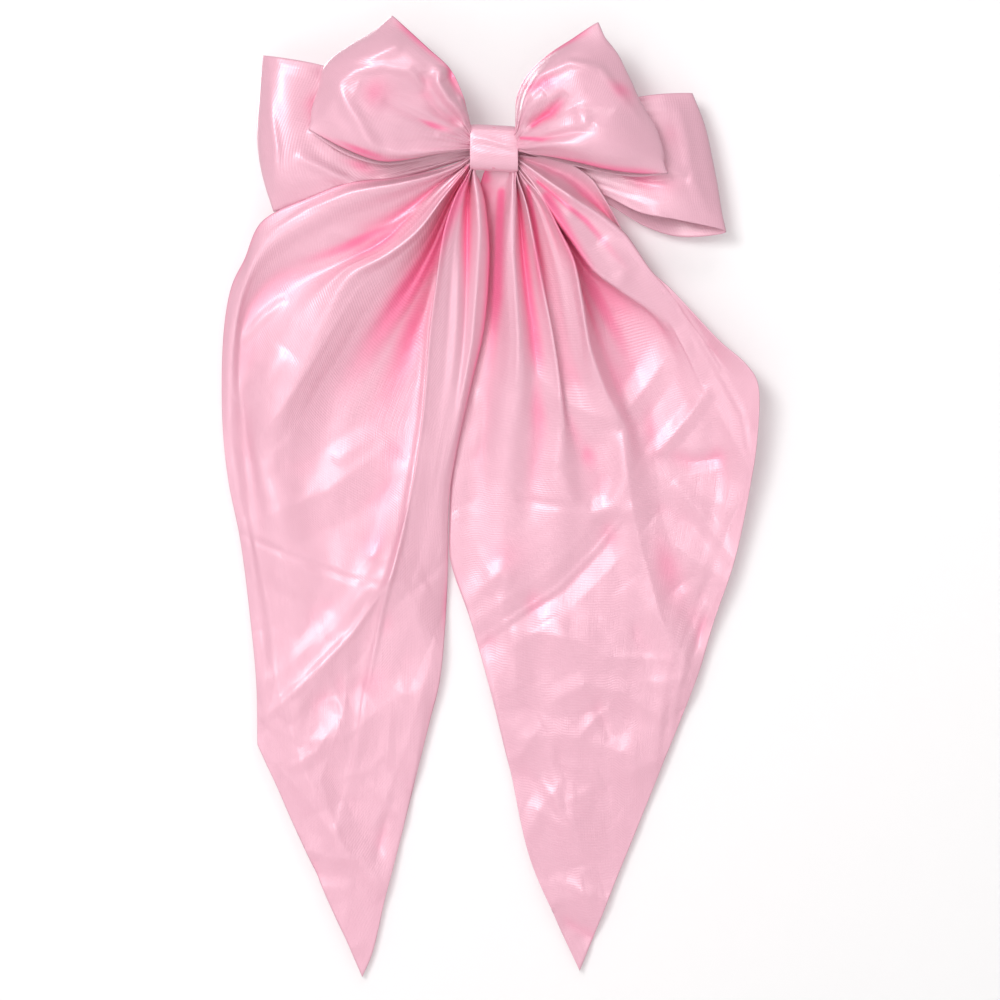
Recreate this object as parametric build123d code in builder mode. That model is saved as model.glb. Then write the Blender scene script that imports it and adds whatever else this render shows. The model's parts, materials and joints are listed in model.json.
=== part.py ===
"""Big satin hair bow with two long pointed tails, gathered on a sprung alligator clip.

Millimetres. The bow hangs as it is worn: +Z is up, +X is to the viewer's right, and the front of the
bow faces -Y, so that the clip and the wearer's hair are on the +Y side. The origin is the middle of
the clip's hair gap, behind the centre band.

From front to back the layers are: centre band, front loops, tails, back loops, glue bead, the clip's
outer jaw, the hair gap and the clip's inner jaw.
"""

import os
from math import asin, atan2, cos, degrees, hypot, radians, sin, tan

from build123d import *

# ---------------------------------------------------------------- clip
STEEL = 0.8  # sheet that both jaws are stamped from
GAP_FRONT = 2.6  # origin to the outer jaw's inner face
GAP_BACK = 3.4  # origin to the inner jaw's inner face
JAW_TIP_X = -40.0  # left end of both jaws
TAB_END_X = 36.0  # right end of both thumb tabs
HINGE_X = 16.0
JAW_WIDTH = 9.0  # outer jaw, across Z, at the hinge
TIP_WIDTH = 7.0  # both jaws, across Z, at the tip
TAB_WIDTH = 10.0  # both thumb tabs
OUTER_TAB_ANGLE = 1.5  # the outer tab leans towards the bow
LEVER_ANGLE = 20.0  # the inner jaw's lever leans away from it
BLANK_ROUND = 1.6  # corners of the stamped blanks
JAW_RAMP = 5.0  # along X, from the toothed tip up to the gap's full height

TOOTH_COUNT = 7
TOOTH_PITCH = 1.6
TOOTH_HEIGHT = 1.3
TOOTH_CLEARANCE = 0.16  # between the two rows, along Y
TEETH_START = 1.0  # first tooth from the jaw's tip
MESH_Y = 0.4  # mean line where the two rows of teeth meet, and the hinge

PIN_RADIUS = 1.0
PIN_HEAD_RADIUS = 1.7
PIN_HEAD = 0.5
PIN_RUNNING = 0.06  # radial clearance of the inner ears on the pin
EAR_MARGIN = 0.3  # from an ear's round end to the other jaw
EAR_SIDE_CLEARANCE = 0.12  # between the outer and the inner ears, along Z

WIRE_RADIUS = 0.35
COIL_RADIUS = 1.65  # to the middle of the wire
COIL_PITCH = 0.85
COIL_PASSES = 5
LEG_REACH = 9.0  # from the hinge, along X
LEG_CLEARANCE = 0.05

# ---------------------------------------------------------------- band and gathered waists
BAND_WIDTH = 20.0  # across X
BAND_WALL = 1.0
WAIST_DEPTH = 3.1  # each gathered ribbon, through Y
WAIST_HEIGHT = 17.5
WAIST_ROUND = 1.5
WAIST_OVERHANG = 0.8  # waist past the band's ends
GLUE_DEPTH = 0.8
GLUE_ROUND = 1.5
GLUE_MARGIN = 0.8  # inside the jaw's edge and the band's ends
FIT = 0.05  # between the band and what it wraps
NECK_GAP = 0.2  # from the band's end to the spread cloth

THREAD_RADIUS = 0.22
THREAD_TURNS = 4
THREAD_BITE = 0.05  # how far thread presses into cloth
STITCH_RADIUS = 0.22
STITCH_LENGTH = 2.4
STITCH_COUNT = 6
STITCH_PITCH = 2.6
STITCH_SLANT = 20.0

# ---------------------------------------------------------------- cloth
CLOTH = 1.2  # doubled satin with its air, as a plain shell
TAIL_CLOTH = 1.4
LOOP_SPAN = 192.0  # across the widest loops
TAIL_DROP = 344.4  # from the hair gap down to the longer tail's point
TAIL_BACK_Y = 6.0  # plane in which the tails hang, below the clip
TAIL_LEAVES_Z = -38.0  # the tails start to fall back towards the head
TAIL_LANDS_Z = -92.0  # they have reached the plane
OUTLINE_DEPTH = 120.0  # more than the bow measures through Y

# Outlines of the cloth from the front, as (x, z), without the two corners at the band. They were drawn
# for a span of PATTERN_SPAN and a drop of PATTERN_DROP.
PATTERN_SPAN = 192.0
PATTERN_DROP = 344.4
FRONT_LEFT = [(-19.5, 33), (-27, 40.5), (-42, 54.4), (-66, 38), (-71.5, 28), (-76.7, 7.5), (-62, -1.5),
              (-45, -5.8), (-26, -3.5)]  # fmt: skip
FRONT_RIGHT = [(11.6, 27.8), (21, 37), (43, 51.4), (54.3, 33.6), (68.8, 9.1), (71.7, -10.8), (48, -9.5),
               (27.4, -5.5)]  # fmt: skip
BACK_LEFT = [(-60, 31), (-95.8, 38.5), (-97.8, 3.7), (-91.6, -25), (-78, -18.5), (-60, -12.5), (-39, -9.5)]
BACK_RIGHT = [(60, 21.5), (82, 23.2), (89.5, -0.4), (96.2, -34.4), (60, -30), (50, -18), (40, -9.5), (30, -6.5)]
TAIL_LEFT = [(-39, -11), (-60, -14), (-80, -21), (-96, -30), (-111, -62.5), (-113, -102), (-105, -164),
             (-99, -225), (-98.5, -249), (-84.5, -280), (-54.7, -344.4), (-45, -309), (-25.7, -235),
             (-19.3, -180), (-18.7, -145), (-12, -116), (-5.8, -83), (-3.2, -50), (-5, -24)]  # fmt: skip
TAIL_RIGHT = [(27.4, -5), (40, -11.5), (60.5, -40), (81, -66), (108, -93), (108.2, -127), (100, -170),
              (80, -230), (54.3, -299), (45.2, -328), (35.6, -341.5), (23, -309), (-1.7, -224),
              (-16.5, -168), (-16.8, -147), (-9.5, -116), (-3.4, -83), (-0.8, -50), (2, -24)]  # fmt: skip

# ---------------------------------------------------------------- places that follow from the sizes
JAW_OUTER_Y = -GAP_FRONT - STEEL
GLUE_FRONT_Y = JAW_OUTER_Y - GLUE_DEPTH
BACK_WAIST_Y = GLUE_FRONT_Y - WAIST_DEPTH / 2
TAIL_WAIST_Y = BACK_WAIST_Y - WAIST_DEPTH
FRONT_WAIST_Y = TAIL_WAIST_Y - WAIST_DEPTH
STACK_FRONT_Y = FRONT_WAIST_Y - WAIST_DEPTH / 2
BAND_BACK_Y = -GAP_FRONT + FIT + BAND_WALL
NECK_X = BAND_WIDTH / 2 + NECK_GAP
WAIST_LENGTH = BAND_WIDTH + 2 * WAIST_OVERHANG
EAR_RADIUS = min(MESH_Y + GAP_FRONT, GAP_BACK - MESH_Y) - EAR_MARGIN
INNER_WIDTH = JAW_WIDTH - 2 * (STEEL + EAR_SIDE_CLEARANCE)
TAB_START_X = HINGE_X + EAR_RADIUS + 2
TEETH_END_X = JAW_TIP_X + TEETH_START + TOOTH_COUNT * TOOTH_PITCH
OUTER_ROOT_Y = MESH_Y - (TOOTH_HEIGHT + TOOTH_CLEARANCE) / 2
INNER_ROOT_Y = MESH_Y + (TOOTH_HEIGHT + TOOTH_CLEARANCE) / 2
LAYER_GAP = 0.5  # between the cloth of neighbouring ribbons
TAIL_FRONT_FACE_Y = TAIL_WAIST_Y - TAIL_CLOTH / 2
TAIL_BACK_FACE_Y = TAIL_WAIST_Y + TAIL_CLOTH / 2


def spread(points, side, neck_top, neck_bottom):
    """An outline at this bow's size, closed at the band's end."""
    grown = [(x * LOOP_SPAN / PATTERN_SPAN, z * TAIL_DROP / PATTERN_DROP) for x, z in points]
    return [(side * NECK_X, neck_top), *grown, (side * NECK_X, neck_bottom)]


def loop_shell(outline, axis_angle, throat, flats, front, back, far):
    """One flattened loop of ribbon, open above and below, cut to its outline.

    The profile lies in the plane of the loop's axis and Y. throat is (front y, back y) at the band,
    flats are the distances to which the front and the back face stay at it, front and back are
    (distance, y) points of the two faces beyond, and far is (distance, y) of the outer fold.
    """
    reach = LOOP_SPAN / PATTERN_SPAN
    axis = Vector(cos(radians(axis_angle)), 0, sin(radians(axis_angle)))
    plane = Plane(origin=(0, 0, 0), x_dir=axis, z_dir=axis.cross(Vector(0, 1, 0)))
    front_y, back_y = throat
    front_flat, back_flat = flats
    hollow_start = (max(flats) + CLOTH, (front_y + back_y) / 2)
    front, back, far = [(x * reach, y) for x, y in (front, back, far)]
    with BuildPart() as shell:
        with BuildSketch(plane):
            with BuildLine():
                Line((0, front_y), (front_flat, front_y))
                ThreePointArc((front_flat, front_y), front, (far[0], far[1] - CLOTH))
                ThreePointArc((far[0], far[1] - CLOTH), (far[0] + CLOTH, far[1]), (far[0], far[1] + CLOTH))
                ThreePointArc((far[0], far[1] + CLOTH), back, (back_flat, back_y))
                Polyline((back_flat, back_y), (0, back_y), (0, front_y))
            make_face()
        extrude(amount=OUTLINE_DEPTH, both=True)
        with BuildSketch(plane):
            with BuildLine():
                ThreePointArc(hollow_start, (front[0], front[1] + CLOTH), (far[0] - CLOTH, far[1]))
                ThreePointArc((far[0] - CLOTH, far[1]), (back[0], back[1] - CLOTH), hollow_start)
            make_face()
        extrude(amount=OUTLINE_DEPTH, both=True, mode=Mode.SUBTRACT)
        with BuildSketch(Plane.XZ):
            with BuildLine():
                Polyline(*outline, close=True)
            make_face()
        extrude(amount=OUTLINE_DEPTH, both=True, mode=Mode.INTERSECT)
    return shell.part


def tail_shell(outline, back_y):
    """One tail: a curved sheet that falls back from the band's depth to the hanging plane."""
    rise, fall = back_y - TAIL_WAIST_Y, TAIL_LEAVES_Z - TAIL_LANDS_Z
    turn = 2 * atan2(rise, fall)
    radius = fall / (2 * sin(turn))
    mid_y, mid_z = (TAIL_WAIST_Y + back_y) / 2, (TAIL_LEAVES_Z + TAIL_LANDS_Z) / 2
    half = turn / 2
    with BuildPart() as shell:
        with BuildSketch(Plane.YZ) as profile:
            with BuildLine() as line:
                Line((TAIL_WAIST_Y, 0), (TAIL_WAIST_Y, TAIL_LEAVES_Z))
                ThreePointArc(
                    (TAIL_WAIST_Y, TAIL_LEAVES_Z),
                    (TAIL_WAIST_Y + radius * (1 - cos(half)), TAIL_LEAVES_Z - radius * sin(half)),
                    (mid_y, mid_z),
                )
                ThreePointArc(
                    (mid_y, mid_z),
                    (back_y - radius * (1 - cos(half)), TAIL_LANDS_Z + radius * sin(half)),
                    (back_y, TAIL_LANDS_Z),
                )
                Line((back_y, TAIL_LANDS_Z), (back_y, -TAIL_DROP - 5))
            trace(line_width=TAIL_CLOTH)
        extrude(amount=LOOP_SPAN, both=True)
        with BuildSketch(Plane.XZ):
            with BuildLine():
                Polyline(*outline, close=True)
            make_face()
        extrude(amount=OUTLINE_DEPTH, both=True, mode=Mode.INTERSECT)
    return shell.part


def waist(middle_y):
    """The gathered middle of a ribbon, with a groove all round for its thread."""
    groove = THREAD_TURNS * 2 * THREAD_RADIUS
    with BuildPart() as bar:
        with BuildSketch(Plane.YZ.offset(-WAIST_LENGTH / 2)):
            with Locations((middle_y, 0)):
                RectangleRounded(WAIST_DEPTH, WAIST_HEIGHT, WAIST_ROUND)
        extrude(amount=WAIST_LENGTH)
        with BuildSketch(Plane.YZ.offset(-groove / 2)):
            with Locations((middle_y, 0)):
                Rectangle(WAIST_DEPTH + 1, WAIST_HEIGHT + 1)
                RectangleRounded(
                    WAIST_DEPTH - 4 * THREAD_RADIUS,
                    WAIST_HEIGHT - 4 * THREAD_RADIUS,
                    WAIST_ROUND - 2 * THREAD_RADIUS,
                    mode=Mode.SUBTRACT,
                )
        extrude(amount=groove, mode=Mode.SUBTRACT)
    return bar.part


def thread_coil(middle_y):
    """The turns of thread that lie side by side in a waist's groove."""
    across = WAIST_DEPTH / 2 - THREAD_RADIUS - THREAD_BITE
    along = WAIST_HEIGHT / 2 - THREAD_RADIUS - THREAD_BITE
    corner = WAIST_ROUND - THREAD_RADIUS - THREAD_BITE
    pitch = 1.8 * THREAD_RADIUS
    with BuildPart() as coil:
        with BuildLine(Plane.YZ) as path:
            FilletPolyline(
                (middle_y + across, along),
                (middle_y - across, along),
                (middle_y - across, -along),
                (middle_y + across, -along),
                radius=corner,
                close=True,
            )
        with BuildSketch(Plane(origin=path.line @ 0, x_dir=(1, 0, 0), z_dir=path.line % 0)):
            with GridLocations(pitch, 1, THREAD_TURNS, 1):
                Circle(THREAD_RADIUS)
        sweep()
    return coil.part


def jaw_strip(line_points, side, blank):
    """A jaw's bent strip: its inner face follows line_points, cut to the flat blank's outline."""
    with BuildPart() as strip:
        with BuildSketch(Plane.XY):
            with BuildLine():
                Polyline(*line_points)
                offset(amount=STEEL, side=side, kind=Kind.INTERSECTION)
            make_face()
        extrude(amount=TAB_WIDTH, both=True)
        with BuildSketch(Plane.XZ) as outline:
            with BuildLine():
                Polyline(*blank, *[(x, -z) for x, z in reversed(blank)], close=True)
            make_face()
            fillet(outline.vertices(), BLANK_ROUND)
        extrude(amount=OUTLINE_DEPTH, both=True, mode=Mode.INTERSECT)
    return strip.part


def ear_pair(outer_face_z, plate_y, bore_radius):
    """Two ears from a jaw's plate to the hinge, with their bores."""
    with BuildPart() as ears:
        for z in (outer_face_z - STEEL, -outer_face_z):
            with BuildSketch(Plane.XY.offset(z)):
                with Locations((HINGE_X, MESH_Y)):
                    Circle(EAR_RADIUS)
                with Locations((HINGE_X, (MESH_Y + plate_y) / 2)):
                    Rectangle(2 * EAR_RADIUS, abs(plate_y - MESH_Y))
                with Locations((HINGE_X, MESH_Y)):
                    Circle(bore_radius, mode=Mode.SUBTRACT)
            extrude(amount=STEEL)
    return ears.part


def tooth_row(root_y, direction, first_x, count, width):
    """Straight teeth across a jaw's tip, rooted a little inside the strip."""
    root = root_y - direction * STEEL / 2
    with BuildPart() as row:
        for i in range(count):
            x = first_x + i * TOOTH_PITCH
            with BuildSketch(Plane.XY.offset(-width / 2)):
                with BuildLine():
                    Polyline(
                        (x, root),
                        (x, root_y),
                        (x + TOOTH_PITCH / 2, root_y + direction * TOOTH_HEIGHT),
                        (x + TOOTH_PITCH, root_y),
                        (x + TOOTH_PITCH, root),
                        close=True,
                    )
                make_face()
            extrude(amount=width)
    return row.part


os.makedirs("parts", exist_ok=True)

# ---------------------------------------------------------------- front loops
# They puff forward from the band. Their back faces stay in front of the tails.
FRONT_THROAT = (STACK_FRONT_Y, FRONT_WAIST_Y + WAIST_DEPTH / 2 - LAYER_GAP)
FRONT_FLATS = (NECK_X + 1.0, NECK_X + 4.0)
left_loop = loop_shell(
    spread(FRONT_LEFT, -1, 8.0, -3.0), 158, FRONT_THROAT, FRONT_FLATS, (38, -35), (38, -12.5), (73, -20)
)
right_loop = loop_shell(
    spread(FRONT_RIGHT, 1, 8.0, -4.0), 14, FRONT_THROAT, FRONT_FLATS, (36, -35), (36, -12.5), (67, -20)
)
waist_bar = waist(FRONT_WAIST_Y)
with BuildPart() as front_loop_ribbon:
    add(waist_bar)
    add(left_loop)
    add(right_loop)
front_loop_ribbon.part.label = "front_loop_ribbon"
export_step(front_loop_ribbon.part, "parts/front_loop_ribbon.step")

# ---------------------------------------------------------------- back loops
# Larger and flatter. They lie flat between the tails and the clip, and open beyond its tip and tabs.
BACK_THROAT = (BACK_WAIST_Y - WAIST_DEPTH / 2 + LAYER_GAP, BACK_WAIST_Y + WAIST_DEPTH / 2 - FIT)
BACK_FLATS = (26.0, -JAW_TIP_X + 3.0)
left_loop = loop_shell(
    spread(BACK_LEFT, -1, 7.0, -7.0), 180, BACK_THROAT, BACK_FLATS, (64, -9.6), (74, 2.5), (96.3, -3)
)
right_loop = loop_shell(
    spread(BACK_RIGHT, 1, 7.0, -7.0), -12, BACK_THROAT, BACK_FLATS, (62, -9.6), (74, 2.5), (99.5, -3)
)
waist_bar = waist(BACK_WAIST_Y)
with BuildPart() as back_loop_ribbon:
    add(waist_bar)
    add(left_loop)
    add(right_loop)
back_loop_ribbon.part.label = "back_loop_ribbon"
export_step(back_loop_ribbon.part, "parts/back_loop_ribbon.step")

# ---------------------------------------------------------------- tails
left_tail = tail_shell(spread(TAIL_LEFT, -1, -1.5, -11.5), TAIL_BACK_Y)
right_tail = tail_shell(spread(TAIL_RIGHT, 1, -1.5, -11.5), TAIL_BACK_Y)
waist_bar = waist(TAIL_WAIST_Y)
with BuildPart() as tail_ribbon:
    add(waist_bar)
    add(left_tail)
    add(right_tail)
tail_ribbon.part.label = "tail_ribbon"
export_step(tail_ribbon.part, "parts/tail_ribbon.step")

# ---------------------------------------------------------------- gathering threads
with BuildPart() as front_gather_thread:
    add(thread_coil(FRONT_WAIST_Y))
front_gather_thread.part.label = "front_gather_thread"
export_step(front_gather_thread.part, "parts/front_gather_thread.step")

with BuildPart() as tail_gather_thread:
    add(thread_coil(TAIL_WAIST_Y))
tail_gather_thread.part.label = "tail_gather_thread"
export_step(tail_gather_thread.part, "parts/tail_gather_thread.step")

with BuildPart() as back_gather_thread:
    add(thread_coil(BACK_WAIST_Y))
back_gather_thread.part.label = "back_gather_thread"
export_step(back_gather_thread.part, "parts/back_gather_thread.step")

# ---------------------------------------------------------------- centre band
# A folded strip that wraps the three waists, the glue and the outer jaw.
BAND_HALF = WAIST_HEIGHT / 2 + FIT
BAND_BACK_HALF = JAW_WIDTH / 2 + 0.6
with BuildPart() as centre_band:
    with BuildSketch(Plane.YZ.offset(-BAND_WIDTH / 2)) as section:
        with BuildLine():
            Polyline(
                (STACK_FRONT_Y - FIT, BAND_HALF),
                (GLUE_FRONT_Y + FIT, BAND_HALF),
                (-GAP_FRONT + FIT, BAND_BACK_HALF),
                (-GAP_FRONT + FIT, -BAND_BACK_HALF),
                (GLUE_FRONT_Y + FIT, -BAND_HALF),
                (STACK_FRONT_Y - FIT, -BAND_HALF),
                close=True,
            )
        make_face()
        fillet(section.vertices().group_by(Axis.X)[0], WAIST_ROUND + FIT)
        offset(amount=BAND_WALL, kind=Kind.ARC)
        with BuildLine():
            Polyline(
                (STACK_FRONT_Y - FIT, BAND_HALF),
                (GLUE_FRONT_Y + FIT, BAND_HALF),
                (-GAP_FRONT + FIT, BAND_BACK_HALF),
                (-GAP_FRONT + FIT, -BAND_BACK_HALF),
                (GLUE_FRONT_Y + FIT, -BAND_HALF),
                (STACK_FRONT_Y - FIT, -BAND_HALF),
                close=True,
            )
        make_face(mode=Mode.SUBTRACT)
    extrude(amount=BAND_WIDTH)
    # Rounded seats for the front waist's corners.
    with BuildSketch(Plane.YZ.offset(-BAND_WIDTH / 2)):
        with Locations((FRONT_WAIST_Y, 0)):
            Rectangle(WAIST_DEPTH + 2 * FIT, WAIST_HEIGHT + 2 * FIT)
            RectangleRounded(
                WAIST_DEPTH + 2 * FIT, WAIST_HEIGHT + 2 * FIT, WAIST_ROUND, mode=Mode.SUBTRACT
            )
        with Locations((TAIL_WAIST_Y, 0)):
            Rectangle(2 * WAIST_DEPTH, WAIST_HEIGHT + 1, mode=Mode.SUBTRACT)
    extrude(amount=BAND_WIDTH)
centre_band.part.label = "centre_band"
export_step(centre_band.part, "parts/centre_band.step")

# ---------------------------------------------------------------- seam at the back of the band
with BuildPart() as band_seam_stitches:
    with Locations((0, BAND_BACK_Y + STITCH_RADIUS - THREAD_BITE, 0)):
        with GridLocations(STITCH_PITCH, 1, STITCH_COUNT, 1):
            Cylinder(STITCH_RADIUS, STITCH_LENGTH, rotation=(0, STITCH_SLANT, 0))
band_seam_stitches.part.label = "band_seam_stitches"
export_step(band_seam_stitches.part, "parts/band_seam_stitches.step")

# ---------------------------------------------------------------- glue bead
with BuildPart() as glue_pad:
    with BuildSketch(Plane.XZ.offset(-JAW_OUTER_Y)):
        RectangleRounded(BAND_WIDTH - 2 * GLUE_MARGIN, TIP_WIDTH - 2 * GLUE_MARGIN, GLUE_ROUND)
    extrude(amount=GLUE_DEPTH)
glue_pad.part.label = "glue_pad"
export_step(glue_pad.part, "parts/glue_pad.step")

# ---------------------------------------------------------------- outer jaw
OUTER_TAB_END_Y = -GAP_FRONT - tan(radians(OUTER_TAB_ANGLE)) * (TAB_END_X - TAB_START_X)
outer_line = [
    (JAW_TIP_X, OUTER_ROOT_Y),
    (TEETH_END_X, OUTER_ROOT_Y),
    (TEETH_END_X + JAW_RAMP, -GAP_FRONT),
    (TAB_START_X, -GAP_FRONT),
    (TAB_END_X, OUTER_TAB_END_Y),
]
outer_blank = [
    (JAW_TIP_X, TIP_WIDTH / 2),
    (HINGE_X - EAR_RADIUS - 2, JAW_WIDTH / 2),
    (TAB_START_X, JAW_WIDTH / 2),
    (TAB_END_X, TAB_WIDTH / 2),
]
outer_strip = jaw_strip(outer_line, Side.RIGHT, outer_blank)
outer_ears = ear_pair(JAW_WIDTH / 2, -GAP_FRONT - STEEL / 2, PIN_RADIUS)
outer_teeth = tooth_row(
    OUTER_ROOT_Y, 1, JAW_TIP_X + TEETH_START, TOOTH_COUNT, TIP_WIDTH - 2 * BLANK_ROUND
)
with BuildPart() as outer_jaw:
    add(outer_strip)
    add(outer_ears)
    add(outer_teeth)
outer_jaw.part.label = "outer_jaw"
export_step(outer_jaw.part, "parts/outer_jaw.step")

# ---------------------------------------------------------------- inner jaw
LEVER_END_Y = GAP_BACK + tan(radians(LEVER_ANGLE)) * (TAB_END_X - TAB_START_X)
inner_line = [
    (JAW_TIP_X, INNER_ROOT_Y),
    (TEETH_END_X, INNER_ROOT_Y),
    (TEETH_END_X + JAW_RAMP, GAP_BACK),
    (TAB_START_X, GAP_BACK),
    (TAB_END_X, LEVER_END_Y),
]
inner_blank = [
    (JAW_TIP_X, TIP_WIDTH / 2),
    (HINGE_X - EAR_RADIUS, INNER_WIDTH / 2),
    (TAB_START_X, INNER_WIDTH / 2),
    (TAB_START_X + 3, TAB_WIDTH / 2),
    (TAB_END_X, TAB_WIDTH / 2),
]
inner_strip = jaw_strip(inner_line, Side.LEFT, inner_blank)
inner_ears = ear_pair(INNER_WIDTH / 2, GAP_BACK + STEEL / 2, PIN_RADIUS + PIN_RUNNING)
inner_teeth = tooth_row(
    INNER_ROOT_Y,
    -1,
    JAW_TIP_X + TEETH_START + TOOTH_PITCH / 2,
    TOOTH_COUNT - 1,
    TIP_WIDTH - 2 * BLANK_ROUND,
)
with BuildPart() as inner_jaw:
    add(inner_strip)
    add(inner_ears)
    add(inner_teeth)
inner_jaw.part.label = "inner_jaw"
export_step(inner_jaw.part, "parts/inner_jaw.step")

# ---------------------------------------------------------------- hinge pin
with BuildPart() as hinge_pin:
    with BuildSketch(Plane.XY.offset(-JAW_WIDTH / 2 - PIN_HEAD)):
        with Locations((HINGE_X, MESH_Y)):
            Circle(PIN_RADIUS)
    extrude(amount=JAW_WIDTH + 2 * PIN_HEAD)
    for z in (-JAW_WIDTH / 2 - PIN_HEAD, JAW_WIDTH / 2):
        with BuildSketch(Plane.XY.offset(z)):
            with Locations((HINGE_X, MESH_Y)):
                Circle(PIN_HEAD_RADIUS)
        extrude(amount=PIN_HEAD)
    fillet(hinge_pin.edges().group_by(Axis.Z)[0] + hinge_pin.edges().group_by(Axis.Z)[-1], PIN_HEAD / 2)
hinge_pin.part.label = "hinge_pin"
export_step(hinge_pin.part, "parts/hinge_pin.step")

# ---------------------------------------------------------------- torsion spring
# The legs run from the coil to the thumb tabs and push them apart: one lies on the outer tab, the
# other on the bend where the inner jaw's lever starts.
LEG_X = HINGE_X + LEG_REACH
LEG_OFF = WIRE_RADIUS + LEG_CLEARANCE
OUTER_SEAT = (LEG_X, -GAP_FRONT - tan(radians(OUTER_TAB_ANGLE)) * (LEG_X - TAB_START_X) + LEG_OFF)
LEVER_SEAT = (TAB_START_X, GAP_BACK - LEG_OFF)


def leg_angle(seat, side):
    """Direction of the line that leaves the coil as a tangent and passes through a seat, in degrees."""
    dx, dy = seat[0] - HINGE_X, seat[1] - MESH_Y
    distance = hypot(dx, dy)
    return degrees(atan2(dy, dx)) - side * degrees(asin(COIL_RADIUS / distance))


lever_leg, outer_leg = leg_angle(LEVER_SEAT, 1), leg_angle(OUTER_SEAT, -1)
start_angle = 90 + lever_leg
end_angle = 360 * COIL_PASSES - 90 + outer_leg
coil_height = COIL_PITCH * (end_angle - start_angle) / 360
coil_plane = Plane(
    origin=(HINGE_X, MESH_Y, -coil_height / 2),
    x_dir=(cos(radians(start_angle)), sin(radians(start_angle)), 0),
    z_dir=(0, 0, 1),
)
coil = coil_plane.location * Helix(COIL_PITCH, coil_height, COIL_RADIUS)
with BuildPart() as torsion_spring:
    with BuildLine() as wire_path:
        add(coil)
        for end, tangent in ((coil @ 0, coil % 0 * -1), (coil @ 1, coil % 1)):
            Line(end, end + tangent * (LEG_X - end.X) / tangent.X)
    wire_start = wire_path.wires()[0]
    with BuildSketch(Plane(origin=wire_start @ 0, z_dir=wire_start % 0)):
        Circle(WIRE_RADIUS)
    sweep(path=wire_start)
torsion_spring.part.label = "torsion_spring"
export_step(torsion_spring.part, "parts/torsion_spring.step")
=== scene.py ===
# %% [markdown]
# # A satin hair bow on an alligator clip
# The bow is four strips of pink satin. Two make loops, one makes the long pleated tails, and a short
# one is the band that holds the others. The tails are modelled as a left and a right piece. Behind the
# cloth is a sprung steel clip, which comes from the CAD model as it is. The satin is modelled here,
# because its look is all in its folds.

# %% the frame
import json
from math import cos, pi, sin

import bpy
import numpy as np
from mathutils import Matrix, Vector, noise


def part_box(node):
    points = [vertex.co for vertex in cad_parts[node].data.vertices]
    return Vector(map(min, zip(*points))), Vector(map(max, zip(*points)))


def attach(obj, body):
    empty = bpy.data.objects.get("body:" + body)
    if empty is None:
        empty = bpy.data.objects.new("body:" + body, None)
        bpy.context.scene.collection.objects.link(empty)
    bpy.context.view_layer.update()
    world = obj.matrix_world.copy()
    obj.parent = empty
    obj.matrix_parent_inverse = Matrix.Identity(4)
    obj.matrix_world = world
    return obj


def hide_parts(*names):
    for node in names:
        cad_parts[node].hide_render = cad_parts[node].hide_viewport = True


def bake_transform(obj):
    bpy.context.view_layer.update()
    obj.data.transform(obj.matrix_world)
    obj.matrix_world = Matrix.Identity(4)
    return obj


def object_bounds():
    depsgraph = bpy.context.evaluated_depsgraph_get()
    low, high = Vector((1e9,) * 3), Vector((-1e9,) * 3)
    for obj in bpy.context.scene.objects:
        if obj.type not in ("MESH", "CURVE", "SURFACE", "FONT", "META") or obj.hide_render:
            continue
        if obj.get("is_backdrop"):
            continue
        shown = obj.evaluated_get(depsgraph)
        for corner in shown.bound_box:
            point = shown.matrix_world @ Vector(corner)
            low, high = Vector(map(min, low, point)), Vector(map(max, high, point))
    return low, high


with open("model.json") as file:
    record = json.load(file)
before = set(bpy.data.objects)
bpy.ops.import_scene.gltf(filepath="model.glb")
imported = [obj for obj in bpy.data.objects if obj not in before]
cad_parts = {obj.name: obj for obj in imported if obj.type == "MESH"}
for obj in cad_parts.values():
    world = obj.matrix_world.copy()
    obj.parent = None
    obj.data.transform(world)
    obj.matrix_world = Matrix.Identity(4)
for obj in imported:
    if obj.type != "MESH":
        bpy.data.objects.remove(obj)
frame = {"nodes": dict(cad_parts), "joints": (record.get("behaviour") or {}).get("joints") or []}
cad_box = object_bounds()
MM = 0.001
WALL_Y = 8.0  # mm, the plane that the tails hang against


# %% [markdown]
# ## Shader groups
# Satin has a fine diagonal weave and soft package creases; where the folds close, a deeper pink is
# painted in as painted shade. More than one material uses the weave and the soft wear, so each is a
# node group with its own inputs.

# %% small helpers for node trees
def new_group(name, inputs, outputs):
    """An empty shader group with named sockets: (name, socket kind, default)."""
    tree = bpy.data.node_groups.new(name, "ShaderNodeTree")
    for label, kind, default in inputs:
        socket = tree.interface.new_socket(label, in_out="INPUT", socket_type=kind)
        if default is not None:
            socket.default_value = default
    for label, kind in outputs:
        tree.interface.new_socket(label, in_out="OUTPUT", socket_type=kind)
    return tree, tree.nodes.new("NodeGroupInput"), tree.nodes.new("NodeGroupOutput")


def node(tree, kind, **settings):
    """A node with its settings; names that are inputs set the socket's value."""
    made = tree.nodes.new(kind)
    for key, value in settings.items():
        if hasattr(made, key):
            setattr(made, key, value)
        else:
            made.inputs[key.replace("_", " ")].default_value = value
    return made


def ramp(tree, stops, mode="LINEAR"):
    """A colour ramp from (place, grey value) or (place, colour) stops."""
    made = tree.nodes.new("ShaderNodeValToRGB")
    made.color_ramp.interpolation = mode
    while len(made.color_ramp.elements) < len(stops):
        made.color_ramp.elements.new(0.5)
    for element, (place, value) in zip(made.color_ramp.elements, stops):
        element.position = place
        element.color = (value, value, value, 1) if isinstance(value, (int, float)) else (*value, 1)
    return made


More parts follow.
